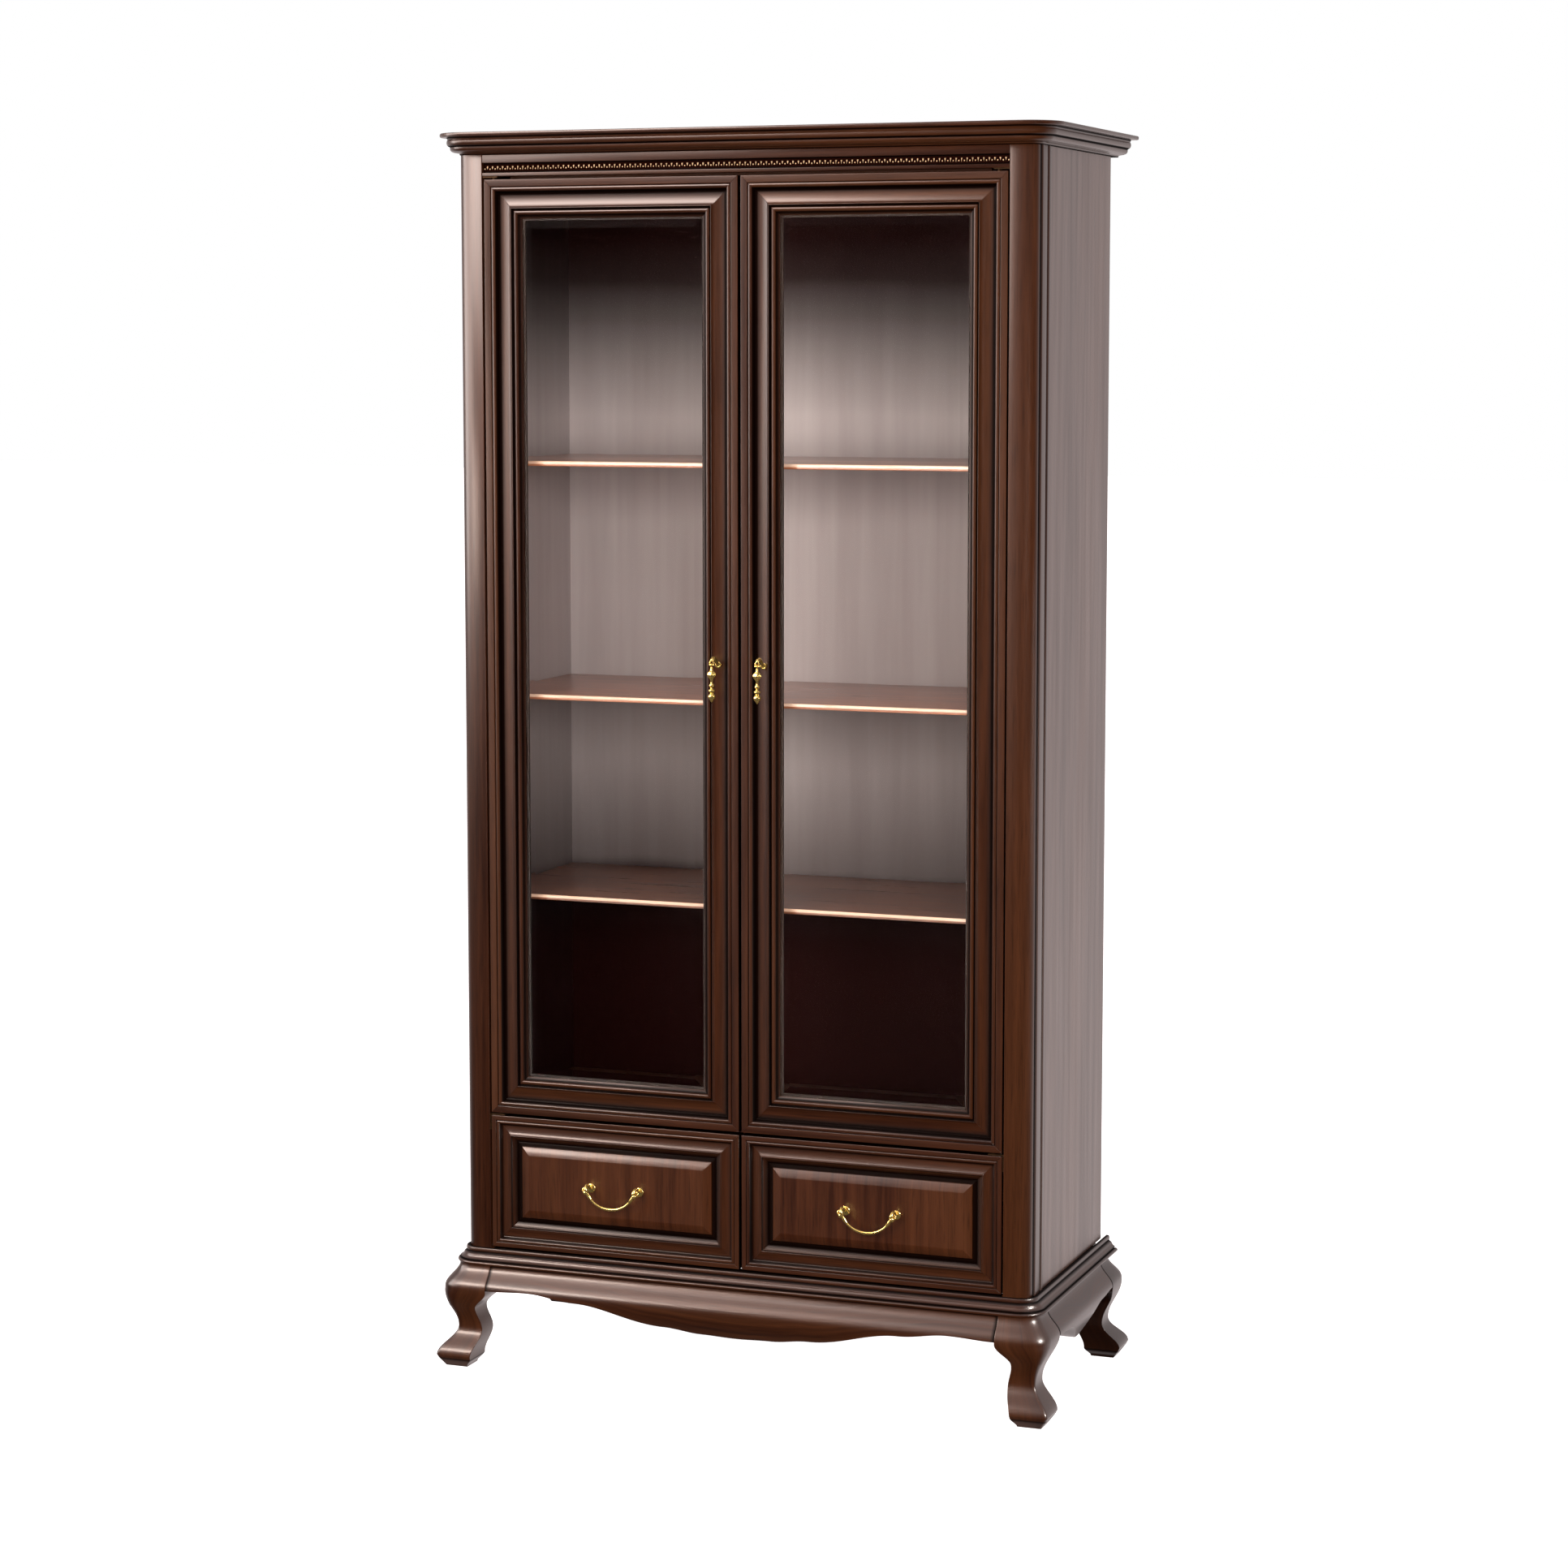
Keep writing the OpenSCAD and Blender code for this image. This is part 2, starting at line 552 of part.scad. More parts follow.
// bow pull: two posts with scrolled ends and a hanging bow
module drawer_handle(right) {
  cy = face + 4.4;                    // face of the raised panel
  reach = 20;                         // how far the bow stands off the panel
  wire = 2.8;
  half = bow_w / 2;
  rr = (half * half + bow_drop * bow_drop) / (2 * bow_drop);
  aa = asin(half / rr);
  color(brass) mirror_x(right)
    translate([door_in + door_w / 2, cy, drawer_bottom + drawer_h / 2 - 2]) {
      for (s = [-1, 1]) {
        translate([s * half, 0, 0]) rotate([90, 0, 0]) cylinder(r = 8, h = 2.4);
        translate([s * half, 18, 0]) rotate([90, 0, 0]) cylinder(r = 2.5, h = 36);
        translate([s * half, -reach, 0]) rotate([20, 30, 0]) sphere(r = 4.8);
        translate([s * (half + 5), -reach, 4]) rotate([90, 0, 25])
          rotate_extrude() translate([5.2, 0]) circle(r = 2.2);
      }
      translate([0, -reach, rr - bow_drop]) rotate([90, 0, 0]) rotate([0, 0, -90 - aa])
        rotate_extrude(angle = 2 * aa) translate([rr, 0]) circle(r = wire);
      translate([0, -reach, -bow_drop]) rotate([0, 90, 0]) cylinder(r = 4.2, h = 9, center = true);
    }
}
module left_drawer_front_frame() { front_frame(false); }
module left_drawer_front_panel() { front_panel(false); }
module left_drawer_sides() { drawer_sides(false); }
module left_drawer_back() { drawer_back(false); }
module left_drawer_bottom() { drawer_bottom_board(false); }
module left_drawer_handle() { drawer_handle(false); }
module right_drawer_front_frame() { front_frame(true); }
module right_drawer_front_panel() { front_panel(true); }
module right_drawer_sides() { drawer_sides(true); }
module right_drawer_back() { drawer_back(true); }
module right_drawer_bottom() { drawer_bottom_board(true); }
module right_drawer_handle() { drawer_handle(true); }

left_side_panel();
right_side_panel();
left_corner_post();
right_corner_post();
top_panel();
deck_panel();
bottom_panel();
drawer_divider();
back_panel();
frieze_rail();
carved_strip();
door_stop_rail();
cornice_moulding();
cornice_top_board();
base_moulding();
front_apron();
side_and_rear_aprons();
front_left_leg();
front_right_leg();
back_left_leg();
back_right_leg();
upper_shelf();
middle_shelf();
lower_shelf();
shelf_pins();
drawer_runners();
door_pivots();
magnet_catches();
left_door_hinge_stile();
left_door_meeting_stile();
left_door_top_rail();
left_door_bottom_rail();
left_door_glass();
left_door_glazing_beads();
left_door_bushes();
left_door_strike();
left_pull_mount();
left_pull_drop();
right_door_hinge_stile();
right_door_meeting_stile();
right_door_top_rail();
right_door_bottom_rail();
right_door_glass();
right_door_glazing_beads();
right_door_bushes();
right_door_strike();
right_pull_mount();
right_pull_drop();
left_drawer_front_frame();
left_drawer_front_panel();
left_drawer_sides();
left_drawer_back();
left_drawer_bottom();
left_drawer_handle();
right_drawer_front_frame();
right_drawer_front_panel();
right_drawer_sides();
right_drawer_back();
right_drawer_bottom();
right_drawer_handle();
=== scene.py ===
import json
import math

import bpy
import numpy as np
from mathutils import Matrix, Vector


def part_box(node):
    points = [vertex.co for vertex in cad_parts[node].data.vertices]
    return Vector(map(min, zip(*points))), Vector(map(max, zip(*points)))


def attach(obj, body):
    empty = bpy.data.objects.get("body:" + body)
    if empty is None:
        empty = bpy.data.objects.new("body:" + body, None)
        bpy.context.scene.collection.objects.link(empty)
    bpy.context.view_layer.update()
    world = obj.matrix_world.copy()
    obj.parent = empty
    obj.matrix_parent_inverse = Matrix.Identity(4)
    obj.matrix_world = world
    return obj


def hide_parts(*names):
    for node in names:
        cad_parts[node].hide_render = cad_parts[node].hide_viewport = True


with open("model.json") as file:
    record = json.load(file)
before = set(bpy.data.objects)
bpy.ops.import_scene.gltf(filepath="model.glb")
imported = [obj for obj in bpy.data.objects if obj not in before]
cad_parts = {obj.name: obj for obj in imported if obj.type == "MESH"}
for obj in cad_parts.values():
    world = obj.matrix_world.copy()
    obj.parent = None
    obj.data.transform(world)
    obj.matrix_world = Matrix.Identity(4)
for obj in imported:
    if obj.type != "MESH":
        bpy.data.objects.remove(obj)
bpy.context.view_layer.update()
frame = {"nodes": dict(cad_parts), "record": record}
print("frame loaded:", len(frame["nodes"]), "nodes")


# lowest and highest corner of a CAD node in millimetres
def span(node):
    low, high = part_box(node)
    return np.array(low) * 1000.0, np.array(high) * 1000.0


postLow, postHigh = span("right_corner_post")
halfBody, postInner = postHigh[0], postLow[0]
frontY, baseTop, bodyTop = postLow[1], postLow[2], postHigh[2]
backY = span("right_side_panel")[1][1]
crownTop = span("cornice_top_board")[1][2]


# camera: place in metres, lens in millimetres, shift in widths of the frame
view = {
    "place": (2.1455, -5.7491, 1.7558),
    "turn": 20.4964,  # degrees round the upright axis
    "down": 6.0488,  # degrees the lens looks down
    "lens": 83.0934,
    "shift": -0.038,  # small, so that the whole cabinet stays in the frame from every side
}

lens = bpy.data.cameras.new("studioCamera")
lens.lens = view["lens"]
lens.sensor_width = 36.0
lens.shift_y = view["shift"]
lens.clip_end = 200.0
studioCamera = bpy.data.objects.new("studioCamera", lens)
studioCamera.location = view["place"]
studioCamera.rotation_euler = (math.radians(90.0 - view["down"]), 0.0, math.radians(view["turn"]))
bpy.context.scene.collection.objects.link(studioCamera)
bpy.context.scene.camera = studioCamera

bpy.context.scene.view_settings.view_transform = "Standard"
bpy.context.scene.view_settings.look = "None"

lights = {
    # name: place, aim, width, height, watts, colour, spread in degrees, what it lights
    "sideSoftbox": ((-4.8, -3.9, 3.5), (-0.3, -0.2, 1.8), 2.2, 4.2, 190.0, (1.0, 0.86, 0.79), 180.0, "gloss"),
    "leftSoftbox": ((-4.8, -1.6, 2.7), (-0.4, -0.2, 1.6), 1.8, 3.0, 160.0, (1.0, 0.88, 0.83), 180.0, "gloss"),
    "topSoftbox": ((-1.1, -1.4, 3.0), (-0.45, -0.2, 2.05), 1.3, 1.5, 10.0, (1.0, 0.82, 0.74), 50.0, "gloss"),
    "lowSoftbox": ((-1.5, -1.9, 1.7), (-0.1, -0.2, 0.3), 0.7, 0.4, 6.0, (1.0, 0.82, 0.72), 70.0, "gloss"),
    "kneeSpark": ((2.3, -0.6, 1.4), (0.53, -0.25, 0.14), 0.5, 0.5, 12.0, (1.0, 0.95, 0.9), 60.0, "gloss"),
    "frontFill": ((-1.3, -5.5, 2.0), (0.0, -0.2, 1.2), 3.0, 2.4, 240.0, (1.0, 0.94, 0.89), 180.0, "colour"),
    "rightFill": ((2.7, -5.0, 2.0), (-0.2, 0.2, 1.2), 2.0, 2.0, 260.0, (1.0, 0.94, 0.91), 180.0, "colour"),
}


# an area lamp facing its aim point; it lights either the gloss or the colour of things
def softbox(name, place, aim, width, height, watts, tint, spread, lit):
    data = bpy.data.lights.new(name, "AREA")
    data.shape = "RECTANGLE"
    data.size, data.size_y = width, height
    data.energy = watts
    data.color = tint
    data.spread = math.radians(spread)
    lamp = bpy.data.objects.new(name, data)
    away = np.array(place) - np.array(aim)
    away = away / np.linalg.norm(away)
    lamp.location = place
    lamp.rotation_euler = (math.acos(away[2]), 0.0, math.atan2(away[0], -away[1]))
    lamp.visible_diffuse = lit == "colour"
    lamp.visible_glossy = lit == "gloss"
    lamp.visible_transmission = lit == "colour"
    bpy.context.scene.collection.objects.link(lamp)


for lightName, lightWords in lights.items():
    softbox(lightName, *lightWords)
print("camera and lights set")


# a number or vector that comes out of a node, ready for arithmetic
class Wire:
    def __init__(self, finish, socket):
        self.finish, self.socket = finish, socket

    def maths(self, operation, first, second):
        return self.finish.add("ShaderNodeMath", {"operation": operation}, {0: first, 1: second})

    def __add__(self, other):
        return self.maths("ADD", self, other)

    def __rsub__(self, other):
        return self.maths("SUBTRACT", other, self)

    def __mul__(self, other):
        return self.maths("MULTIPLY", self, other)


# one material, and the nodes that are added to it
class Finish:
    def __init__(self, name, material=None):
        self.material = material or bpy.data.materials.new(name)
        self.material.use_nodes = True
        self.tree = self.material.node_tree
        self.tree.nodes.clear()

    # any node: its type, its settings, the values or wires of its sockets, and which output to hand back
    def add(self, kind, settings=None, sockets=None, out=0):
        made = self.tree.nodes.new(kind)
        for word, value in (settings or {}).items():
            if word == "stops":
                ramp = made.color_ramp
                for k, (place, colour) in enumerate(value):
                    stop = ramp.elements[k] if k < 2 else ramp.elements.new(place)
                    stop.position, stop.color = place, colour
            else:
                setattr(made, word, value)
        for key, value in (sockets or {}).items():
            if isinstance(value, Wire):
                self.tree.links.new(value.socket, made.inputs[key])
            else:
                made.inputs[key].default_value = value
        return Wire(self, made.outputs[out]) if len(made.outputs) else None

    # two colours mixed by a number
    def blend(self, amount, first, second):
        return self.add("ShaderNodeMix", {"data_type": "RGBA"}, {0: amount, 6: first, 7: second}, 2)

    # a number moved from one range to another, held at the ends
    def spread(self, value, low, high, toLow=0.0, toHigh=1.0):
        return self.add("ShaderNodeMapRange", {"clamp": True},
                        {0: value, 1: low, 2: high, 3: toLow, 4: toHigh})

    def noise(self, vector, scale, detail=3.0, roughness=0.55, distortion=0.0):
        return self.add("ShaderNodeTexNoise", {},
                        {"Vector": vector, "Scale": scale, "Detail": detail,
                         "Roughness": roughness, "Distortion": distortion})

    # the pattern vector: the grain map of the piece, or its own place in space
    def along(self, source, stretch):
        kind, out = ("ShaderNodeUVMap", 0) if source == "grain" else ("ShaderNodeTexCoord", 3)
        settings = {"uv_map": "grain"} if source == "grain" else {}
        start = self.add(kind, settings, {}, out)
        return self.add("ShaderNodeMapping", {"vector_type": "POINT"}, {0: start, 3: stretch})

    # one part of the piece's own place in space, 0 to 2 for x to z, in metres
    def place(self, part):
        return self.add("ShaderNodeSeparateXYZ", {}, {0: self.add("ShaderNodeTexCoord", {}, {}, 3)}, part)

    # walnut along "fine": fibre between deep and warm, lifted to pale by the cloudy figure, pores in glaze
    def stained(self, fine, cloudy, words, poreSize, poreShare, warp):
        fibre = self.noise(fine, 1.0, 4.0, 0.6, 0.3)
        pores = self.spread(self.noise(fine, poreSize, 2.0, 0.5), 0.34, 0.46)
        figure = self.noise(cloudy, 1.0, 3.0, 0.55, warp)
        wood = self.blend(self.spread(fibre, 0.32, 0.72), words["deep"], words["warm"])
        wood = self.blend(self.spread(figure, 0.42, 0.72) * 0.6, wood, words["pale"])
        return self.blend((1.0 - pores) * poreShare, wood, words["glazeAndShade"]), fibre

    def principled(self, sockets):
        return self.add("ShaderNodeBsdfPrincipled", {}, sockets)

    def surface(self, shader):
        self.add("ShaderNodeOutputMaterial", {}, {"Surface": shader})
        return self.material


# screen values 0 to 255 turned to linear light: ((v + 0.055) / 1.055) to the power 2.4, straight near black
def colour(red, green, blue):
    values = np.array([red, green, blue]) / 255.0
    linear = np.where(values <= 0.04045, values / 12.92, ((values + 0.055) / 1.055) ** 2.4)
    return (float(linear[0]), float(linear[1]), float(linear[2]), 1.0)


# stained walnut: long fibres stretched along the grain, fine dark pores, a slow cloudy figure,
# and a dark glaze with painted shade in the hollows
walnutWords = {
    "deep": colour(36, 14, 6),
    "warm": colour(62, 31, 15),
    "pale": colour(84, 48, 25),
    "glazeAndShade": colour(8, 2, 1),
    "rough": 0.30,
    "coat": 0.35,
}


# wood = stained walnut, darkened to the glaze colour by 0.9 of the hollow as glaze and painted shade; sheen =
# 0.1 fibre + 0.3 hollow + rough
def walnut(name, source="grain", stretch=(1.0, 1.0, 1.0), tone=1.0, words=walnutWords, rough=None):
    made = Finish(name)
    cloudy = made.along(source, tuple(0.06 * s for s in stretch))
    wood, fibre = made.stained(made.along(source, stretch), cloudy, words, 5.5, 0.35, 0.8)
    hollow = made.add("ShaderNodeAttribute", {"attribute_name": "hollow"}, {}, 2)
    wood = made.blend(hollow * 0.9, wood, words["glazeAndShade"])
    if tone != 1.0:
        wood = made.add("ShaderNodeVectorMath", {"operation": "SCALE"}, {0: wood, 3: tone})
    sheen = fibre * 0.10 + hollow * 0.3 + (words["rough"] if rough is None else rough)
    relief = made.add("ShaderNodeBump", {}, {"Strength": 0.05, "Distance": 0.0006, "Height": fibre})
    shader = made.principled({"Base Color": wood, "Roughness": sheen, "Normal": relief,
                              "Coat Weight": words["coat"], "Coat Roughness": 0.22, "IOR": 1.48})
    # a dark flat sheet mixed in by 0.92 of the hollow: glaze and painted shade
    darkGlazeAndShade = made.add("ShaderNodeBsdfDiffuse", {}, {"Color": words["glazeAndShade"]})
    return made.surface(made.add("ShaderNodeMixShader", {}, {0: hollow * 0.92, 1: shader, 2: darkGlazeAndShade}))


walnutRun = walnut("walnutRun", "grain", (3.0, 95.0, 1.0))
# a copy of the walnut at half tone for the back legs: painted shade
walnutPaintedShade = walnut("walnutPaintedShade", "grain", (3.0, 95.0, 1.0), tone=0.5)
walnutPanel = walnut("walnutPanel", "grain", (3.0, 70.0, 1.0), tone=1.35)
insideWalnut = walnut("insideWalnut", "object", (3.0, 80.0, 80.0), tone=0.8, rough=0.42)
insideUpright = walnut("insideUpright", "object", (80.0, 80.0, 3.0), tone=0.55, rough=0.42)

beadWood = walnut("beadWood", "object", (80.0, 80.0, 3.0), tone=0.25, words=dict(walnutWords, coat=0.0),
                  rough=0.7)

drawerWords = {
    "deep": colour(96, 66, 44),
    "warm": colour(140, 104, 72),
    "pale": colour(166, 130, 95),
    "glazeAndShade": colour(50, 30, 18),
    "rough": 0.5,
    "coat": 0.0,
}
drawerWood = walnut("drawerWood", "object", (60.0, 3.0, 60.0), words=drawerWords)

# side panel: the same walnut veneer in a satin lacquer that lifts the light at a low angle
sideWords = dict(walnutWords, deep=colour(58, 33, 24), warm=colour(86, 54, 40),
                 pale=colour(104, 72, 56), rough=0.40, coat=0.6)

# inside of the display case: pale mauve-grey veneer, its pale colour partly a painted sheen, with painted
# shade that deepens towards the top and the bottom; the stops are heights in metres and how much of the
# painted shade shows there
insideWords = {
    "pale": colour(193, 181, 180),
    "streak": colour(176, 163, 162),
    "paintedShade": colour(24, 5, 4),
    "low": 0.44, "high": 2.04,
    "paintedShadeStops": ((0.44, 1.0), (0.70, 1.0), (0.80, 0.985), (0.825, 0.76), (0.86, 0.70), (0.98, 0.44),
               (1.12, 0.24), (1.30, 0.14), (1.50, 0.14), (1.62, 0.0), (1.71, 0.42), (1.79, 0.78),
               (1.86, 0.975), (1.93, 1.0), (2.04, 1.0)),
}


# wood colour inside the case and its fibre: painted shade = a ramp over height, wavered by a cloudy noise
def insideColour(made, words):
    fibre = made.noise(made.along("object", (26.0, 26.0, 1.4)), 1.0, 3.0, 0.55)
    cloud = made.noise(made.along("object", (2.4, 2.4, 1.2)), 1.0, 2.0, 0.5)
    share = made.spread(made.place(2) + cloud * 0.05, words["low"] + 0.025, words["high"] + 0.025)
    stops = [((z - words["low"]) / (words["high"] - words["low"]), (amount, amount, amount, 1.0))
             for z, amount in words["paintedShadeStops"]]
    paintedShade = made.add("ShaderNodeValToRGB", {"stops": stops}, {0: share})
    wood = made.blend(made.spread(fibre * 0.6 + cloud * 0.4, 0.35, 0.65), words["streak"], words["pale"])
    return made.blend(paintedShade, wood, words["paintedShade"]), fibre


# pale veneer inside the case and plain brown board behind, told apart by depth
def insideVeneer():
    made = Finish("insideVeneer")
    wood, fibre = insideColour(made, insideWords)
    backFace = span("back_panel")[1][1]
    behind = made.spread(made.place(1), (backFace - 1.5) * 0.001, (backFace - 0.5) * 0.001)
    board = made.blend(made.spread(fibre, 0.3, 0.7), colour(60, 34, 21), colour(92, 58, 37))
    return made.surface(made.principled({"Base Color": made.blend(behind, wood, board),
                                         "Roughness": fibre * 0.1 + 0.5, "Specular IOR Level": 0.05}))


backPanelFinish = insideVeneer()


# side panels: walnut outside and pale veneer inside, told apart by the distance from the middle; the inside
# carries the painted shade of the case
def sideVeneer():
    made = Finish("sideVeneer")
    fine, cloudy = made.along("object", (60.0, 60.0, 2.2)), made.along("object", (4.0, 4.0, 0.5))
    outer, fibre = made.stained(fine, cloudy, sideWords, 4.5, 0.3, 0.6)
    inner = insideColour(made, insideWords)[0]
    apart = made.add("ShaderNodeMath", {"operation": "ABSOLUTE"}, {0: made.place(0)})
    outside = made.spread(apart, (halfBody - 19.5) * 0.001, (halfBody - 19.0) * 0.001)
    # the inside veneer darkened to 0.8: painted shade
    inner = made.add("ShaderNodeVectorMath", {"operation": "SCALE"}, {0: inner, 3: 0.8})
    wood = made.blend(outside, inner, outer)
    relief = made.add("ShaderNodeBump", {}, {"Strength": 0.06, "Distance": 0.0006, "Height": fibre})
    coat = outside * made.spread(fibre, 0.3, 0.7, 0.35, 0.8)
    return made.surface(made.principled({"Base Color": wood, "Roughness": fibre * 0.14 + 0.34,
                                         "Normal": relief, "Coat Weight": coat,
                                         "Coat Roughness": 0.25, "IOR": 1.48}))


sidePanelFinish = sideVeneer()

brassWords = {"bright": colour(255, 224, 134), "worn": colour(140, 92, 34), "rough": 0.18}


# polished brass: worn share = patches + hollow, at most 1, and the worn metal is browner
def brass(name):
    made = Finish(name)
    patches = made.noise(made.along("object", (160.0, 160.0, 160.0)), 1.0, 3.0, 0.6)
    hollow = made.add("ShaderNodeAttribute", {"attribute_name": "hollow"}, {}, 2)
    worn = made.spread(patches, 0.5, 0.75) * 0.5 + hollow * 0.8
    metal = made.blend(made.add("ShaderNodeMath", {"operation": "MINIMUM"}, {0: worn, 1: 1.0}),
                       brassWords["bright"], brassWords["worn"])
    return made.surface(made.principled({"Base Color": metal, "Metallic": 0.9,
                                         "Roughness": patches * 0.12 + brassWords["rough"]}))


polishedBrass = brass("polishedBrass")


# plain metal: two tones mixed by a stretched noise, which also roughens it
def plainMetal(name, stretch, detail, softness, tones, metallic, rough):
    made = Finish(name)
    patches = made.noise(made.along("object", stretch), 1.0, detail, softness)
    return made.surface(made.principled({"Base Color": made.blend(patches, *tones), "Metallic": metallic,
                                         "Roughness": patches * 0.2 + rough}))


darkBronze = plainMetal("darkBronze", (120.0, 120.0, 120.0), 3.0, 0.6,
                        (colour(44, 30, 20), colour(86, 62, 38)), 0.8, 0.38)
brushedSteel = plainMetal("brushedSteel", (900.0, 60.0, 60.0), 2.0, 0.5,
                          (colour(150, 150, 152), colour(196, 196, 198)), 1.0, 0.28)


# gilt carving: leaf share = how proud the relief stands + patches; red-brown ground shows elsewhere
def gilt():
    made = Finish("giltCarving")
    proud = made.add("ShaderNodeAttribute", {"attribute_name": "hollow"}, {}, 2)
    patches = made.noise(made.along("object", (300.0, 300.0, 300.0)), 1.0, 3.0, 0.6)
    leaf = made.spread((1.0 - proud) + patches * 0.3, 0.62, 0.8)
    metal = made.blend(patches, colour(246, 196, 140), colour(255, 228, 188))
    gold = made.principled({"Base Color": metal, "Metallic": 0.15, "Roughness": 0.4})
    ground = made.add("ShaderNodeBsdfDiffuse", {}, {"Color": colour(26, 8, 5)})
    return made.surface(made.add("ShaderNodeMixShader", {}, {0: leaf, 1: ground, 2: gold}))


giltCarving = gilt()


# clear pane: bends what is behind it with a trace of mirror, and lets lamp and soft light straight through
def paneGlass(name, shine):
    made = Finish(name)
    lampRay = made.add("ShaderNodeLightPath", {}, {}, 1)
    softRay = made.add("ShaderNodeLightPath", {}, {}, 2)
    through = made.add("ShaderNodeMath", {"operation": "MAXIMUM"}, {0: lampRay, 1: softRay})
    clear = made.add("ShaderNodeBsdfTransparent", {}, {0: (0.97, 0.975, 0.97, 1.0)})
    bent = made.add("ShaderNodeBsdfRefraction", {},
                    {"Color": (0.97, 0.98, 0.975, 1.0), "Roughness": 0.0, "IOR": 1.45})
    mirror = made.add("ShaderNodeBsdfAnisotropic", {}, {"Color": (1.0, 1.0, 1.0, 1.0), "Roughness": 0.28})
    pane = made.add("ShaderNodeMixShader", {}, {0: shine, 1: bent, 2: mirror})
    return made.surface(made.add("ShaderNodeMixShader", {}, {0: through, 1: pane, 2: clear}))


clearPane = paneGlass("clearPane", 0.0003)
bevelPane = paneGlass("bevelPane", 0.003)

shelfWords = dict(walnutWords, deep=colour(96, 54, 36), warm=colour(138, 84, 58), pale=colour(170, 112, 82),
                  rough=0.24, coat=0.6)
shelfWood = walnut("shelfWood", "grain", (3.0, 60.0, 1.0), words=shelfWords, tone=2.0)
# a darker copy of the shelf wood for the lowest shelf: painted shade
lowShelfPaintedShade = walnut("lowShelfPaintedShade", "grain", (3.0, 60.0, 1.0), words=shelfWords, tone=0.9)
noseWords = dict(shelfWords, deep=colour(226, 176, 146), warm=colour(246, 206, 180),
                 pale=colour(255, 226, 204), glazeAndShade=colour(190, 130, 96), coat=0.8)
shelfNose = walnut("shelfNose", "grain", (3.0, 40.0, 1.0), words=noseWords)


# pale floor that glows enough to look like paper
def floorFinish():
    made = Finish("paleFloor")
    speck = made.noise(made.along("object", (3.0, 3.0, 3.0)), 1.0, 2.0, 0.5)
    paper = made.blend(speck, colour(250, 250, 250), colour(255, 255, 255))
    return made.surface(made.principled({"Base Color": paper, "Roughness": 0.9, "Specular IOR Level": 0.0,
                                         "Emission Color": paper, "Emission Strength": 0.9}))


# the room: white all round as seen, but the light that reaches the cabinet comes mostly from behind it
roomWords = {"behind": 1.0, "behindAbove": 0.62, "front": 0.05, "above": 0.95, "below": 0.3}


def studioRoom():
    room = bpy.data.worlds.new("studioRoom")
    bpy.context.scene.world = room
    made = Finish("studioRoom", room)
    way = made.add("ShaderNodeSeparateXYZ", {}, {0: made.add("ShaderNodeTexCoord", {}, {}, 0)}, 1)
    rise = made.add("ShaderNodeSeparateXYZ", {}, {0: made.add("ShaderNodeTexCoord", {}, {}, 0)}, 2)
    ahead = made.spread(rise, 0.35, 0.85, roomWords["front"], roomWords["above"])
    ahead = ahead * made.spread(rise, -0.35, 0.0, roomWords["below"], 1.0)
    behind = made.spread(way, -0.15, 0.4)
    rear = made.spread(rise, -0.25, 0.2, roomWords["behind"], roomWords["behindAbove"])
    level = ahead * (1.0 - behind) + behind * rear
    seen = made.add("ShaderNodeLightPath", {}, {}, 0)
    level = made.add("ShaderNodeMix", {"data_type": "FLOAT"}, {0: seen, 2: level, 3: 1.0}, 0)
    tint = made.blend(seen, (1.0, 0.88, 0.87, 1.0), (1.0, 1.0, 1.0, 1.0))
    glow = made.add("ShaderNodeBackground", {}, {"Color": tint, "Strength": level})
    made.add("ShaderNodeOutputWorld", {}, {"Surface": glow})


studioRoom()
print("finishes made")


# corners of an outline become short curves: each starts "reach" before the corner and ends "reach" after it,
# at most 0.42 of the side; points are (..., n, 2 or 3) and reach is a number or one per corner
def easeCorners(points, reach, steps=3):
    points = np.asarray(points, float)
    before, after = np.roll(points, 1, -2) - points, np.roll(points, -1, -2) - points
    beforeLength = np.linalg.norm(before, axis=-1, keepdims=True)
    afterLength = np.linalg.norm(after, axis=-1, keepdims=True)
    reach = np.broadcast_to(np.asarray(reach, float), points.shape[:-1])[..., None]
    cut = np.minimum(reach, 0.42 * np.minimum(beforeLength, afterLength))
    start, end = points + before * cut / beforeLength, points + after * cut / afterLength
    t = np.linspace(0.0, 1.0, steps + 1)[:, None]
    curve = ((1 - t) ** 2 * start[..., None, :] + 2 * t * (1 - t) * points[..., None, :]
             + t ** 2 * end[..., None, :])
    return curve.reshape(points.shape[:-2] + (-1, points.shape[-1]))


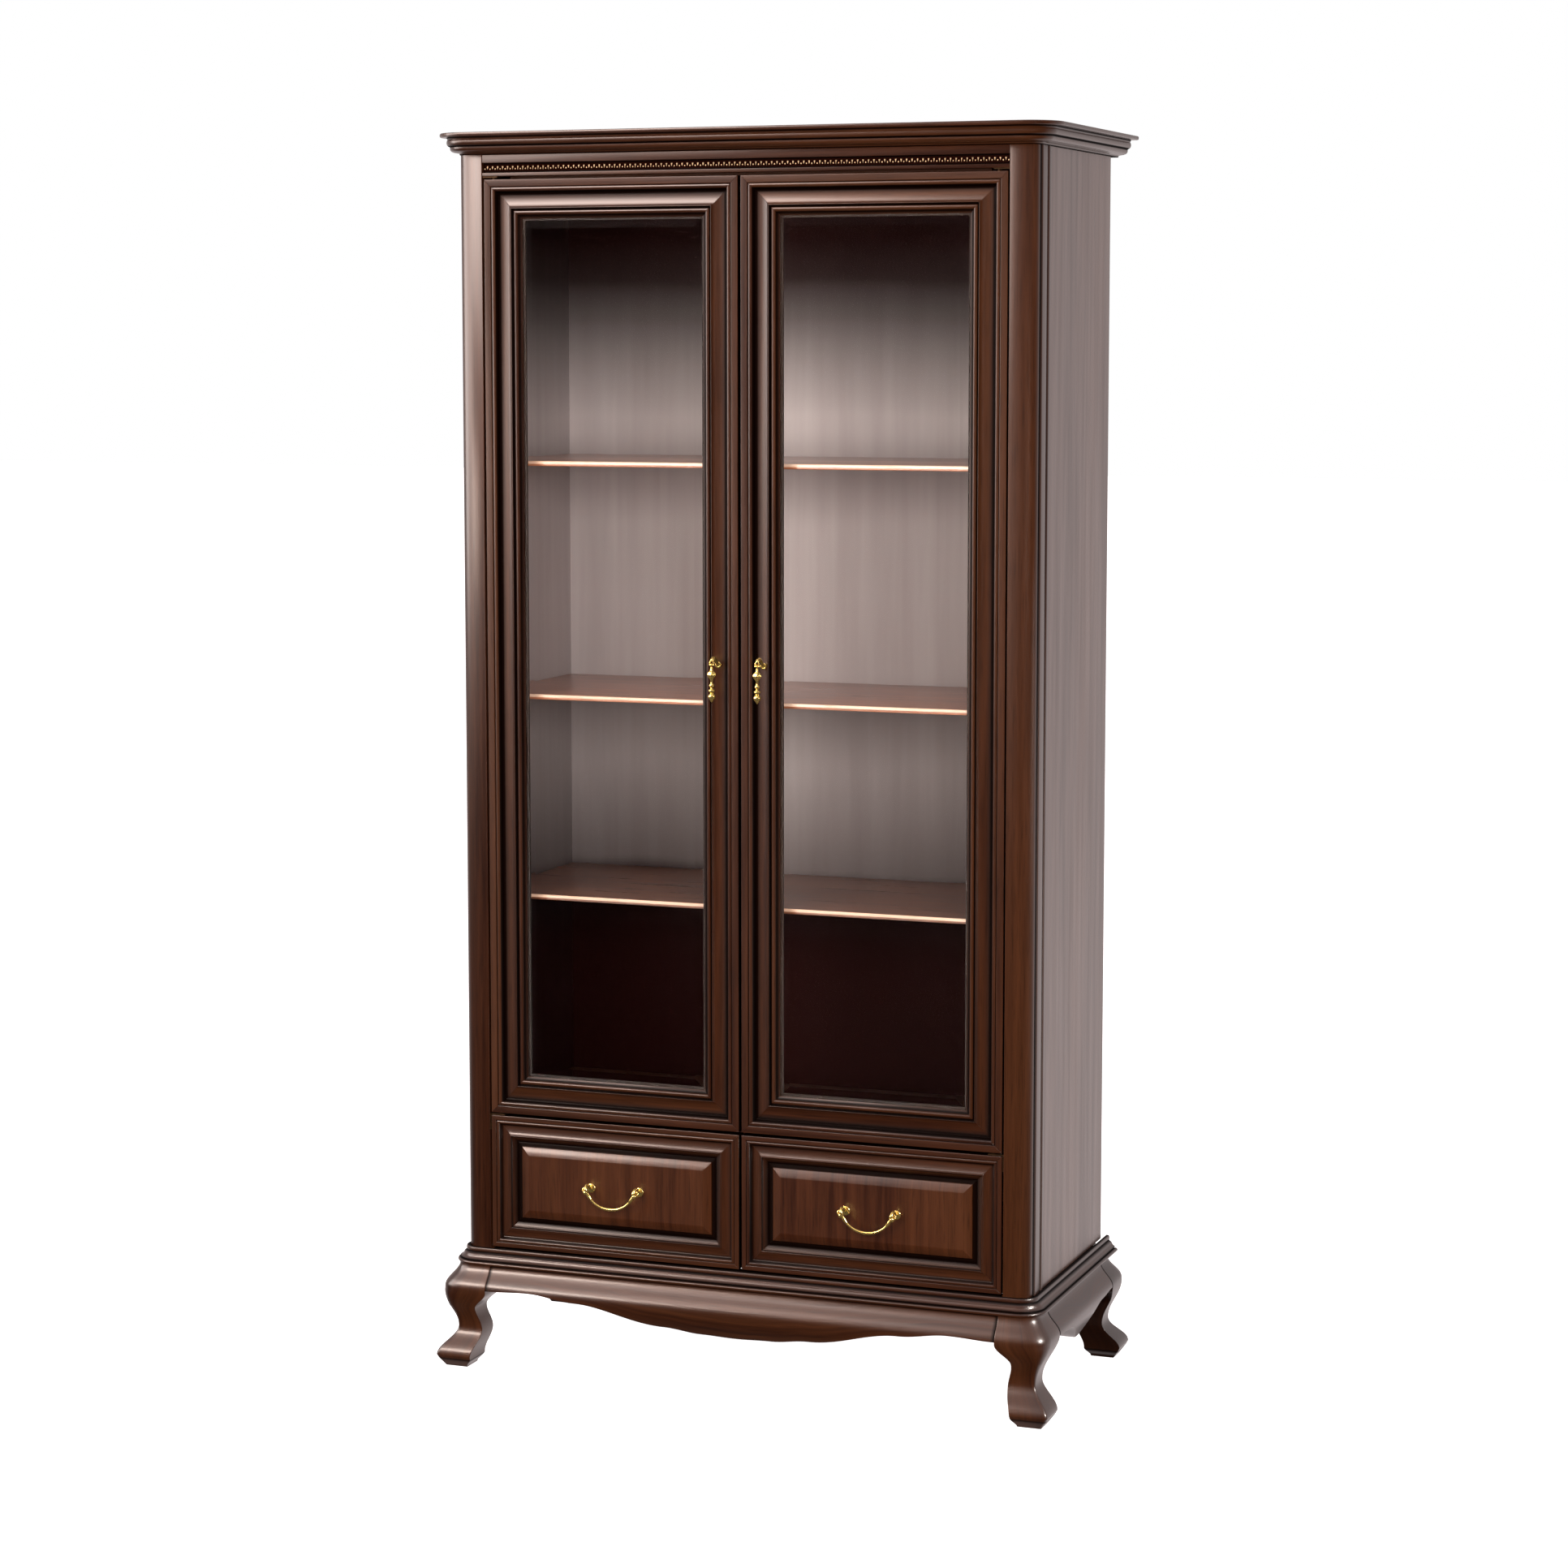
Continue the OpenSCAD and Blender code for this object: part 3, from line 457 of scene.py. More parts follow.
# a grid of points as quads: each row closes on itself, and caps close the two ends unless the rows wrap too
def gridPatch(points, wrapRows=False, grain=None, hollow=None, creaseColumns=(), capAxes=(1, 2)):
    rows, columns = points.shape[:2]
    i, j = np.meshgrid(np.arange(rows if wrapRows else rows - 1), np.arange(columns), indexing="ij")
    iNext, jNext = (i + 1) % rows, (j + 1) % columns
    quads = np.stack([i * columns + j, iNext * columns + j, iNext * columns + jNext, i * columns + jNext], -1)
    if grain is None:  # lengths along the rows and across them, in metres
        closedRows = np.concatenate([points, points[:1]]) if wrapRows else points
        closed = np.concatenate([closedRows, closedRows[:, :1]], 1)
        down = np.linalg.norm(np.diff(closed, axis=0), axis=-1).mean(1) * 0.001
        across = np.linalg.norm(np.diff(closed, axis=1), axis=-1).max(0) * 0.001
        u = np.concatenate([[0.0], np.cumsum(down)])
        v = np.concatenate([[0.0], np.cumsum(across)])
        grain = np.stack(np.meshgrid(u, v, indexing="ij"), -1)
    corners = np.stack([grain[i, j], grain[i + 1, j], grain[i + 1, j + 1], grain[i, j + 1]], -2)
    ends = []
    if not wrapRows:
        ends = [np.arange(columns), np.arange(rows * columns - 1, (rows - 1) * columns - 1, -1)]
    flatQuads = quads.reshape(-1, 4)
    flat = points.reshape(-1, 3)
    volume = 0.0
    for a, b in ((1, 2), (2, 3)):
        volume += np.einsum("ij,ij->i", flat[flatQuads[:, 0]],
                            np.cross(flat[flatQuads[:, a]], flat[flatQuads[:, b]])).sum()
    for ring in ends:
        p = flat[ring]
        volume += np.einsum("j,ij->i", p[0], np.cross(p[1:-1], p[2:])).sum()
    if volume < 0:
        flatQuads, corners = flatQuads[:, ::-1], corners[:, :, ::-1]
        ends = [ring[::-1] for ring in ends]
    crease = np.zeros((rows, columns), int)
    for k, column in enumerate(creaseColumns):
        crease[:, column] = k + 1
    hollow = np.zeros((rows, columns)) if hollow is None else np.broadcast_to(hollow, (rows, columns))
    endGrain = [flat[ring][:, list(capAxes)] * 0.001 for ring in ends]
    return {"points": flat, "quads": flatQuads, "ends": ends, "grain": corners.reshape(-1, 2),
            "endGrain": endGrain, "hollow": hollow.reshape(-1), "crease": crease.reshape(-1)}


# patches joined in one mesh that rides on a body and stands for CAD nodes; edges over sharpAngle stay sharp
def makePiece(name, patches, materials, body, nodes, sharpAngle=32.0, seed=0.0):
    if isinstance(patches, dict):
        patches = [patches]
    if not isinstance(materials, (list, tuple)):
        materials = [materials]
    starts = np.cumsum([0] + [len(p["points"]) for p in patches])
    points = np.concatenate([p["points"] for p in patches]) * 0.001
    faces, grain = [], []
    for p, start in zip(patches, starts):
        faces += (p["quads"] + start).tolist() + [(ring + start).tolist() for ring in p["ends"]]
        grain += [p["grain"]] + p["endGrain"]
    mesh = bpy.data.meshes.new(name)
    mesh.from_pydata(points.tolist(), [], faces)
    grainMap = mesh.uv_layers.new(name="grain")
    shifted = np.concatenate(grain) + (seed * 7.31, seed * 3.17)  # so that no two pieces share their figure
    grainMap.uv.foreach_set("vector", shifted.astype(np.float32).ravel())
    hollow = mesh.attributes.new("hollow", "FLOAT", "POINT")
    hollow.data.foreach_set("value", np.concatenate([p["hollow"] for p in patches]).astype(np.float32))
    mesh.polygons.foreach_set("use_smooth", np.ones(len(faces), bool))
    mesh.set_sharp_from_angle(angle=math.radians(sharpAngle))
    crease = np.concatenate([p["crease"] for p in patches])
    if crease.any():
        edges = np.empty(len(mesh.edges) * 2, np.int32)
        mesh.edges.foreach_get("vertices", edges)
        edges = edges.reshape(-1, 2)
        sharp = np.zeros(len(edges), bool)
        mesh.edges.foreach_get("use_edge_sharp", sharp)
        sharp |= (crease[edges[:, 0]] > 0) & (crease[edges[:, 0]] == crease[edges[:, 1]])
        mesh.edges.foreach_set("use_edge_sharp", sharp)
    for material in materials:
        mesh.materials.append(material)
    piece = bpy.data.objects.new(name, mesh)
    bpy.context.scene.collection.objects.link(piece)
    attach(piece, body)
    if nodes:
        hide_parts(*nodes)
    return piece


# a closed outline (n, 2) in the plane of two axes, run along the third from low to high, ends eased by "soft"
def runPatch(outline, axis, low, high, soft=0.4, **more):
    others = [k for k in range(3) if k != axis]
    middle = outline.mean(0)
    stations = np.array([low, low + soft, high - soft, high])
    inset = np.array([soft, 0.0, 0.0, soft])
    spread = outline - middle
    shrink = 1.0 - inset[:, None, None] / np.abs(spread).max()
    points = np.empty((4, len(outline), 3))
    points[..., others] = middle + spread * shrink
    points[..., axis] = stations[:, None]
    return gridPatch(points, **more)


# the middle line that goes from the back of one side, round the two front corners on a radius, to the back
# of the other side; gives places (n, 2) and outward directions (n, 2)
def roundTheFront(half, front, back, radius, turns=14):
    angle = np.linspace(0.0, math.pi / 2, turns)
    leftTurn = np.stack([-half + radius - radius * np.cos(angle),
                         front + radius - radius * np.sin(angle)], -1)
    rightTurn = leftTurn[::-1] * (-1, 1)
    places = np.concatenate([[[-half, back]], leftTurn, rightTurn, [[half, back]]])
    outward = np.concatenate([[[-1.0, 0.0]], np.stack([-np.cos(angle), -np.sin(angle)], -1),
                              np.stack([np.cos(angle[::-1]), -np.sin(angle[::-1])], -1), [[1.0, 0.0]]])
    return places, outward


# profile (out, z) carried along places: point = place + out * outward direction, at height z
def carriedProfile(profile, places, outward):
    points = np.empty((len(places), len(profile), 3))
    points[..., :2] = places[:, None, :] + outward[:, None, :] * profile[None, :, :1]
    points[..., 2] = profile[None, :, 1]
    return points


# level cosine curve through keys (place, value): value = a + (b - a) * (1 - cos(pi t)) / 2 between two keys
def easedLine(at, places, values):
    k = np.clip(np.searchsorted(places, at, side="right") - 1, 0, len(places) - 2)
    places, values = np.asarray(places, float), np.asarray(values, float)
    t = np.clip((at - places[k]) / (places[k + 1] - places[k]), 0.0, 1.0)
    return values[k] + (values[k + 1] - values[k]) * (1 - np.cos(np.pi * t)) / 2


# corner posts: a round front, two small grooves, then a flat run to the side panel
postShape = {"curveWide": 31.0, "curveDeep": 17.0, "depth": 46.0, "panel": 18.0}
angle = np.linspace(0.0, math.pi / 2, 15)
postCurve = np.stack([halfBody - 34 + postShape["curveWide"] * np.sin(angle),
                      frontY + 17 - postShape["curveDeep"] * np.cos(angle)], -1)
postTail = np.array([[halfBody - 3, frontY + 20], [halfBody, frontY + 24], [halfBody, frontY + 48],
                     [halfBody - 2.5, frontY + 51], [halfBody - 2.5, frontY + 57], [halfBody, frontY + 60],
                     [halfBody, frontY + 68], [halfBody - 2, frontY + 72],
                     [halfBody - 2 - postShape["panel"], frontY + 72],
                     [halfBody - 2 - postShape["panel"], frontY + postShape["depth"]],
                     [postInner, frontY + postShape["depth"]]])
postOutline = easeCorners(np.concatenate([[[postInner, frontY]], postCurve, postTail]), 0.9)
# the two small grooves darkened: glaze and painted shade
postHollow = np.exp(-((postOutline[:, 1] - frontY - 54) / 3.2) ** 2) * (postOutline[:, 0] > halfBody - 4) \
    + np.exp(-((postOutline[:, 1] - frontY - 19.5) / 2.2) ** 2) * (postOutline[:, 0] > halfBody - 6)
for side, sign in (("left", -1.0), ("right", 1.0)):
    outline = postOutline * (sign, 1.0)
    patch = runPatch(outline, 2, baseTop, bodyTop, hollow=np.clip(postHollow, 0, 1)[None, :])
    makePiece(side + "CornerPost", patch, walnutRun, "cabinet", [side + "_corner_post"],
              seed=1 + sign * 0.3)
print("posts made")

# frieze rail, with a recess that holds the carved strip
friezeShape = {"tall": 36.0, "lip": 6.0, "recess": 9.0, "faceLow": 14.0}
friezeLow = bodyTop - friezeShape["tall"]
friezeOutline = easeCorners([
    [frontY + 22, friezeLow], [frontY + 1, friezeLow], [frontY + 1, friezeLow + friezeShape["lip"]],
    [frontY + friezeShape["recess"], friezeLow + friezeShape["lip"]],
    [frontY + friezeShape["recess"], bodyTop - friezeShape["faceLow"]],
    [frontY + 1, bodyTop - friezeShape["faceLow"]], [frontY + 1, bodyTop], [frontY + 22, bodyTop]], 1.1)
# the recess that holds the carved strip darkened: painted shade
friezeHollow = np.clip((friezeOutline[:, 0] - frontY - 2) / 2, 0, 1) * (friezeOutline[:, 0] < frontY + 15)
makePiece("friezeRail", runPatch(friezeOutline, 0, -postInner, postInner, hollow=friezeHollow[None, :]),
          walnutRun, "cabinet", ["frieze_rail"], seed=2)

carving = {"pitch": 9.2, "tall": 11.0, "proud": 3.6, "ground": 0.6}


# leaf-and-bead relief: a leaf that narrows downwards from a flat top, and a round bead between two leaves;
# height = the larger of the two, over a flat ground
def reliefHeight(x, z, words):
    cell = (x / words["pitch"] + 0.5) % 1.0 - 0.5
    fall = np.clip((z + 2.9) / 6.2, 0.0, 1.0)
    leaf = np.clip(1.0 - np.abs(cell) / (0.03 + 0.24 * fall ** 1.4), 0, 1)
    leaf = leaf * np.clip((3.3 - z) / 0.8, 0, 1) * (z > -3.3)
    besideCell = (x / words["pitch"]) % 1.0 - 0.5
    bead = np.clip(1.0 - (besideCell / 0.13) ** 2 - ((z + 1.6) / 1.7) ** 2, 0, 1) ** 0.5
    return words["proud"] * np.maximum(leaf ** 0.7, 0.75 * bead)


stripZ = (span("carved_strip")[0][2] + span("carved_strip")[1][2]) / 2
reliefX = np.linspace(-postInner + 2, postInner - 2, int(2 * postInner / carving["pitch"]) * 14 + 1)
reliefZ = np.linspace(-carving["tall"] / 2, carving["tall"] / 2, 19)
gridX, gridZ = np.meshgrid(reliefX, reliefZ, indexing="ij")
relief = reliefHeight(gridX, gridZ, carving)
face = np.stack([gridX, frontY + 8.2 - carving["ground"] - relief, gridZ + stripZ], -1)
backing = face[:, [-1, 0]] * (1, 0, 1) + (0, frontY + 9, 0)
hollowRelief = 1 - np.clip(relief / 3.0, 0, 1)
makePiece("carvedStrip", gridPatch(np.concatenate([face, backing], 1),
                                   hollow=np.concatenate([hollowRelief,
                                                          np.ones_like(hollowRelief[:, :2])], 1)),
          giltCarving, "cabinet", ["carved_strip"], sharpAngle=60)

crownShape = {"tall": 29.0, "radius": 24.0, "boardOut": 34.0,
              "glazeAndShadeAt": (0.0, 0.9, 2.0, 12.0, 13.2, 14.9, 16.0, 26.4, 27.6, 29.0),
              "glazeAndShade": (1.0, 0.9, 0.0, 0.0, 1.0, 1.0, 0.0, 0.0, 1.0, 1.0)}
arc = np.linspace(0.0, math.pi / 2, 7)
beadArc = np.radians(np.linspace(-60, 60, 7))  # front of a round bead
crownFace = np.concatenate([
    [[0.5, bodyTop + 0.2], [1.5, bodyTop + 3], [11, bodyTop + 4.6]],
    np.stack([11 + 6 * np.sin(arc), bodyTop + 11 - 6 * np.cos(arc)], -1),
    [[17, bodyTop + 13.4], [19.6, bodyTop + 14.6]],
    np.stack([19.5 + 3.2 * np.cos(beadArc), bodyTop + 20.5 + 5.6 * np.sin(beadArc)], -1),
    [[23, bodyTop + crownShape["tall"]]]])
crownProfile = easeCorners(np.concatenate([[[-20, bodyTop + 0.2]], crownFace,
                                           [[-20, bodyTop + crownShape["tall"]]]]), 0.7)
crownBack = span("cornice_moulding")[1][1]
crownLine = roundTheFront(halfBody, frontY, crownBack, crownShape["radius"])
# dark lines in the hollows of the crown: glaze and painted shade
crownHollow = np.interp(crownProfile[:, 1] - bodyTop, crownShape["glazeAndShadeAt"], crownShape["glazeAndShade"])
makePiece("corniceMoulding", gridPatch(carriedProfile(crownProfile, *crownLine), hollow=crownHollow[None, :]),
          walnutRun, "cabinet", ["cornice_moulding"], seed=3)


# a level board with rounded corners: rings (inset, z) of one outline, closed by its two flat faces;
# a corner point = corner centre + (radius - inset) * direction
def platePatch(low, high, radii, rings, turns=12):
    angle = np.linspace(0.0, math.pi / 2, turns)
    points = []
    for (sx, sy), radius, start in zip(((1, -1), (1, 1), (-1, 1), (-1, -1)), radii, (-90, 0, 90, 180)):
        centre = np.array([high[0] - radius if sx > 0 else low[0] + radius,
                           high[1] - radius if sy > 0 else low[1] + radius])
        turn = angle + math.radians(start)
        way = np.stack([np.cos(turn), np.sin(turn)], -1)
        points.append((centre, radius, way))
    outline = np.stack([np.concatenate([c + (r - inset) * w for c, r, w in points]) for inset, z in rings])
    heights = np.array([z for inset, z in rings])
    grid = np.concatenate([outline, np.broadcast_to(heights[:, None, None], outline.shape[:2] + (1,))], -1)
    grain = np.concatenate([grid, grid[:, :1]], 1)[..., :2] * 0.001 + heights[:, None, None] * 0.001
    return gridPatch(grid, grain=grain, capAxes=(0, 1))


boardLow, boardHigh = span("cornice_top_board")
boardZ = boardLow[2]
boardRings = [(4.0, boardZ), (1.4, boardZ + 0.3), (0.4, boardZ + 1.2), (0.0, boardZ + 2.6),
              (0.0, boardZ + 4.4), (0.5, boardZ + 5.9), (1.6, boardZ + 6.8), (4.0, crownTop)]
boardRadius = crownShape["radius"] + crownShape["boardOut"]
makePiece("corniceBoard", platePatch(boardLow, boardHigh, (boardRadius, 5.0, 5.0, boardRadius), boardRings),
          walnutRun, "cabinet", ["cornice_top_board"], seed=4)
print("crown made")

# base moulding: a rounded lip, a step, a cove and a fillet under the posts
baseShape = {"out": 21.0, "radius": 24.0,
             "glazeAndShadeAt": (0.0, 0.5, 1.2, 6.0, 7.0, 8.8, 10.4, 17.4, 18.8, 20.6, 22.0, 27.0, 28.0),
             "glazeAndShade": (1.0, 1.0, 0.0, 0.0, 1.0, 0.9, 0.0, 0.0, 0.95, 0.95, 0.0, 0.0, 0.9)}
baseZ = span("base_moulding")[0][2]
lipArc = np.radians(np.linspace(-75, 75, 7))
coveArc = np.radians(np.linspace(75, 10, 7))
out = baseShape["out"]
baseFace = np.concatenate([
    [[out - 4, baseZ]],
    np.stack([out - 3.4 + 3.4 * np.cos(lipArc), baseZ + 3.4 + 3.3 * np.sin(lipArc)], -1),
    [[out - 6, baseZ + 7], [out - 6, baseZ + 8.4]],
    np.stack([out - 1.5 - 9.5 * np.cos(coveArc), baseZ + 18.0 - 9.0 * np.sin(coveArc)], -1),
    [[5.5, baseZ + 19.5], [6.4, baseZ + 23.5], [5.6, baseTop - 1.2], [4, baseTop]]])
baseProfile = easeCorners(np.concatenate([[[0, baseZ]], baseFace, [[0, baseTop]]]), 0.8)
baseBack = span("base_moulding")[1][1]
# dark lines between the mouldings: glaze and painted shade
baseHollow = np.interp(baseProfile[:, 1] - baseZ, baseShape["glazeAndShadeAt"], baseShape["glazeAndShade"])
baseLine = roundTheFront(halfBody, frontY, baseBack, baseShape["radius"])
makePiece("baseMoulding", gridPatch(carriedProfile(baseProfile, *baseLine), hollow=baseHollow[None, :]),
          walnutRun, "cabinet", ["base_moulding"], seed=5)

# legs: reach past the body corner, reach inwards and softness of the arris, each at its heights
legShape = {
    "outAt": (0.0, 14.0, 20.0, 66.0, 138.0, 178.0),
    "out": (27.0, 37.0, 40.0, 11.0, 35.0, 13.0),
    "inAt": (0.0, 16.0, 60.0, 100.0, 134.0),
    "inward": (14.0, 24.0, 35.0, 27.0, 52.0),
    # the outer arris is soft and wide on the knee and crisp lower down
    "softAt": (0.0, 20.0, 60.0, 105.0, 140.0, 178.0),
    "soft": (3.0, 7.0, 4.5, 13.0, 40.0, 30.0),
    "sole": 13.0,
    "knee": 178.0,  # underside of the base moulding
    "top": 206.0,  # end of the post inside the case
}


# a cabriole leg: every height has a square section from "inward" to "out" of the body corner, whose outer
# corner is cut back by "soft"; the sections are stacked on a grid of height by way round
def legPatch(signX, signY, cornerY, words):
    knee = words["knee"]
    z = np.concatenate([np.linspace(0, 14, 5), np.linspace(15.2, 20, 5), np.linspace(21, knee, 60),
                        [knee + 0.5, words["top"]]])
    reach = np.where(z < 20, np.interp(z, words["outAt"][:3], words["out"][:3]),
                     easedLine(z, words["outAt"][2:], words["out"][2:]))
    reach = np.where(z > knee + 0.2, -8.0, reach)
    inner = -easedLine(np.minimum(z, 134.0), words["inAt"], words["inward"])
    soft = np.interp(z, words["softAt"], words["soft"])
    soft = np.where(z > knee + 0.2, 3.0, soft)
    square = np.stack([np.stack([reach, reach], -1), np.stack([reach, inner], -1),
                       np.stack([inner, inner], -1), np.stack([inner, reach], -1)], 1)
    edge = np.full_like(z, 1.6)
    section = easeCorners(square, np.stack([soft, edge, edge, edge], -1), 9)
    points = np.empty(section.shape[:2] + (3,))
    points[..., 0] = signX * (halfBody + section[..., 0])
    points[..., 1] = cornerY + signY * section[..., 1]
    points[..., 2] = z[:, None]
    # dark line above the sole: glaze and painted shade
    sole = np.clip(1.0 - np.abs(z - words["sole"]) / 3.0, 0.0, 1.0)
    return gridPatch(points, hollow=np.broadcast_to(sole[:, None], section.shape[:2]))


for side, signX in (("left", -1.0), ("right", 1.0)):
    for end, signY, cornerY in (("front", -1.0, frontY), ("back", 1.0, backY)):
        makePiece(end + side.title() + "Leg", legPatch(signX, signY, cornerY, legShape),
                  walnutRun if end == "front" else walnutPaintedShade, "cabinet",
                  [end + "_" + side + "_leg"], sharpAngle=24, seed=6 + signX + signY * 0.4)

# aprons: height of the lower edge, each at its distances from the middle
apronShape = {
    "block": 52.0, "thick": 20.0, "soft": 3.0,
    "frontAt": (0.0, 62.0, 130.0, 290.0, 375.0, 455.0), "front": (95.0, 97.0, 104.0, 132.0, 141.0, 138.0),
    "sideAt": (0.0, 98.0, 163.0), "side": (90.0, 131.0, 136.0),
}


# a bulged board with a scalloped lower edge: for each station, the face follows the knee line from the
# moulding down to the edge height, turns under on a small curve and goes back up behind
def apronPatch(stations, edge, place, words):
    top, steps = legShape["knee"], 26
    t = np.linspace(0.0, 1.0, steps)
    z = top + (edge[:, None] - top) * t[None, :]
    bulge = easedLine(z, legShape["outAt"][3:], legShape["out"][3:])
    end = np.full_like(edge, legShape["top"])
    lead = np.stack([np.full_like(edge, -0.5), end], -1)[:, None]
    behind = np.full_like(edge, -words["thick"])
    tail = np.stack([np.stack([behind, edge], -1), np.stack([behind, end], -1)], 1)
    ring = np.concatenate([lead, np.stack([bulge, z], -1), tail], 1)
    reach = np.full(ring.shape[1], 0.2)
    reach[steps] = words["soft"]
    eased = easeCorners(ring, reach, 3)
    # painted shade under the moulding, and dark joints with the legs
    hollow = np.clip((eased[..., 1] - top + 4.0) / 3.0, 0.0, 1.0)
    hollow[[0, -1]] = 1.0
    return gridPatch(place(stations[:, None], eased[..., 0], eased[..., 1]), hollow=hollow)


# apron section set along the front: point = (station, front - out, height)
def frontPlace(x, out, z):
    return np.stack(np.broadcast_arrays(x, frontY - out, z), -1)


frontX = np.linspace(-halfBody + apronShape["block"] + 0.15, halfBody - apronShape["block"] - 0.15, 141)
frontEdge = easedLine(np.abs(frontX), apronShape["frontAt"], apronShape["front"])
makePiece("frontApron", apronPatch(frontX, frontEdge, frontPlace, apronShape), walnutRun, "cabinet",
          ["front_apron"], sharpAngle=24, seed=9)

middleY = (frontY + backY) / 2
sideY = np.linspace(frontY + apronShape["block"] + 0.15, backY - apronShape["block"] - 0.15, 61)
sideEdge = easedLine(np.abs(sideY - middleY), apronShape["sideAt"], apronShape["side"])
sidePatches = [apronPatch(sideY, sideEdge,
                          lambda y, out, z, s=sign: np.stack(
                              np.broadcast_arrays(s * (halfBody + out), y, z), -1),
                          apronShape) for sign in (-1.0, 1.0)]
rearLow = backY - 20
rearOutline = easeCorners([[rearLow, 110.0], [backY, 110.0], [backY, baseTop], [rearLow, baseTop]], 1.5)
rearPatch = runPatch(rearOutline, 0, -halfBody + apronShape["block"], halfBody - apronShape["block"])
makePiece("sideAndRearAprons", sidePatches + [rearPatch], walnutRun, "cabinet", ["side_and_rear_aprons"],
          sharpAngle=24, seed=10)
print("base, legs and aprons made")

# doors: the frame profile is (in from the outer edge, depth behind the face)
doorShape = {
    "bevel": 22.0,
    "glazeAndShadeAt": (11.7, 12.4, 13.6, 18.8, 20.2, 25.0, 28.0, 33.0, 47.6, 48.6, 51.2, 52.4, 58.2, 59.4, 62.0,
                64.4),
    "glazeAndShade": (0.0, 0.95, 0.0, 0.0, 1.0, 1.0, 0.35, 0.0, 0.0, 0.9, 1.0, 0.0, 0.0, 0.95, 0.95, 0.1),
}
coveAngle = np.radians(np.linspace(0, 90, 12))
innerAngle = np.radians(np.linspace(-90, 90, 9))
doorFace = np.concatenate([
    [[0.0, 0.6], [0.6, 0.0], [11.6, 0.0], [12.4, 1.4], [13.2, 0.5]],
    np.stack([16 + 3.4 * np.sin(beadArc), 2.4 - 2.4 * np.cos(beadArc)], -1),
    [[19.8, 2.2], [22.0, 8.6], [25.0, 9.8]],
    np.stack([26 + 21 * np.sin(coveAngle), 2.4 + 7.4 * np.cos(coveAngle)], -1),
    [[48.4, 2.4], [50.2, 7.2]],
    np.stack([55 + 3.6 * np.sin(innerAngle), 7.2 - 2.8 * np.cos(innerAngle)], -1),
    [[60.2, 8.4], [65.0, 11.0]]])
doorOutline = easeCorners(np.concatenate([doorFace, [[59.0, 11.1], [59.0, 22.0], [0.0, 22.0]]]), 0.7)


# one frame member: profile (u from the outer edge, depth) carried along the edge, with mitred ends, so the
# point at share s of the length lies u + s * (length - 2u) from the corner; the mitre edge is eased
def memberPatch(outline, corner, inward, along, length, hollow):
    corner, inward, along = (np.asarray(v, float) for v in (corner, inward, along))
    share = np.array([0.0, 0.0, 0.5, 1.0, 1.0])
    step = np.array([0.06, 0.5, 0.0, -0.5, -0.06])
    u, depth = outline[:, 0], outline[:, 1]
    travel = u[None, :] + share[:, None] * (length - 2 * u[None, :]) + step[:, None]
    lowered = depth[None, :] + np.array([0.35, 0, 0, 0, 0.35])[:, None] * (depth[None, :] < 20)
    points = (corner + inward * u[None, :, None] + along * travel[..., None]
              + np.array([0.0, 1.0, 0.0]) * lowered[..., None])
    grain = np.stack([travel * 0.001, np.broadcast_to(np.concatenate(
        [[0], np.cumsum(np.linalg.norm(np.diff(outline, axis=0), axis=-1))]) * 0.001, travel.shape)], -1)
    grain = np.concatenate([grain, grain[:, :1] + (0, 0.2)], 1)
    return gridPatch(points, grain=grain, hollow=hollow[None, :])


# the members round a door or drawer front, as corner, way inward, way along and length: the outer stile, the
# inner stile, the top rail and the bottom rail
def frameMembers(sign, inner, outer, face, low, top):
    wide, tall = outer - inner, top - low
    return [((sign * outer, face, low), (-sign, 0, 0), (0, 0, 1), tall),
            ((sign * inner, face, low), (sign, 0, 0), (0, 0, 1), tall),
            ((sign * inner, face, top), (0, 0, -1), (sign, 0, 0), wide),
            ((sign * inner, face, low), (0, 0, 1), (sign, 0, 0), wide)]


# rectangular rings (inset, depth behind the face) of an upright board: corner = box corner moved in by inset
def uprightRings(low, high, face, rings):
    x0, x1, z0, z1 = low[0], high[0], low[2], high[2]
    return np.array([[[x0 + i, face + d, z0 + i], [x1 - i, face + d, z0 + i],
                      [x1 - i, face + d, z1 - i], [x0 + i, face + d, z1 - i]] for i, d in rings])


# second finish on the faces whose "normal" or "center" (x, y, z) passes a test
def secondFinish(piece, word, passes):
    faces = piece.data.polygons
    values = np.empty(len(faces) * 3)
    faces.foreach_get(word, values)
    faces.foreach_set("material_index", passes(*values.reshape(-1, 3).T).astype(np.int32))


# dark glaze and painted shade on a frame profile: the amount = the settings read at each distance in, on the
# face only, and full on the outer edge inside the gaps, where it is painted shade
def glazeAndPaintedShade(outline, words):
    glazeAndShade = np.interp(outline[:, 0], words["glazeAndShadeAt"], words["glazeAndShade"]) * (outline[:, 1] < 16)
    return np.where((outline[:, 0] < 0.3) & (outline[:, 1] > 0.9), 1.0, glazeAndShade)


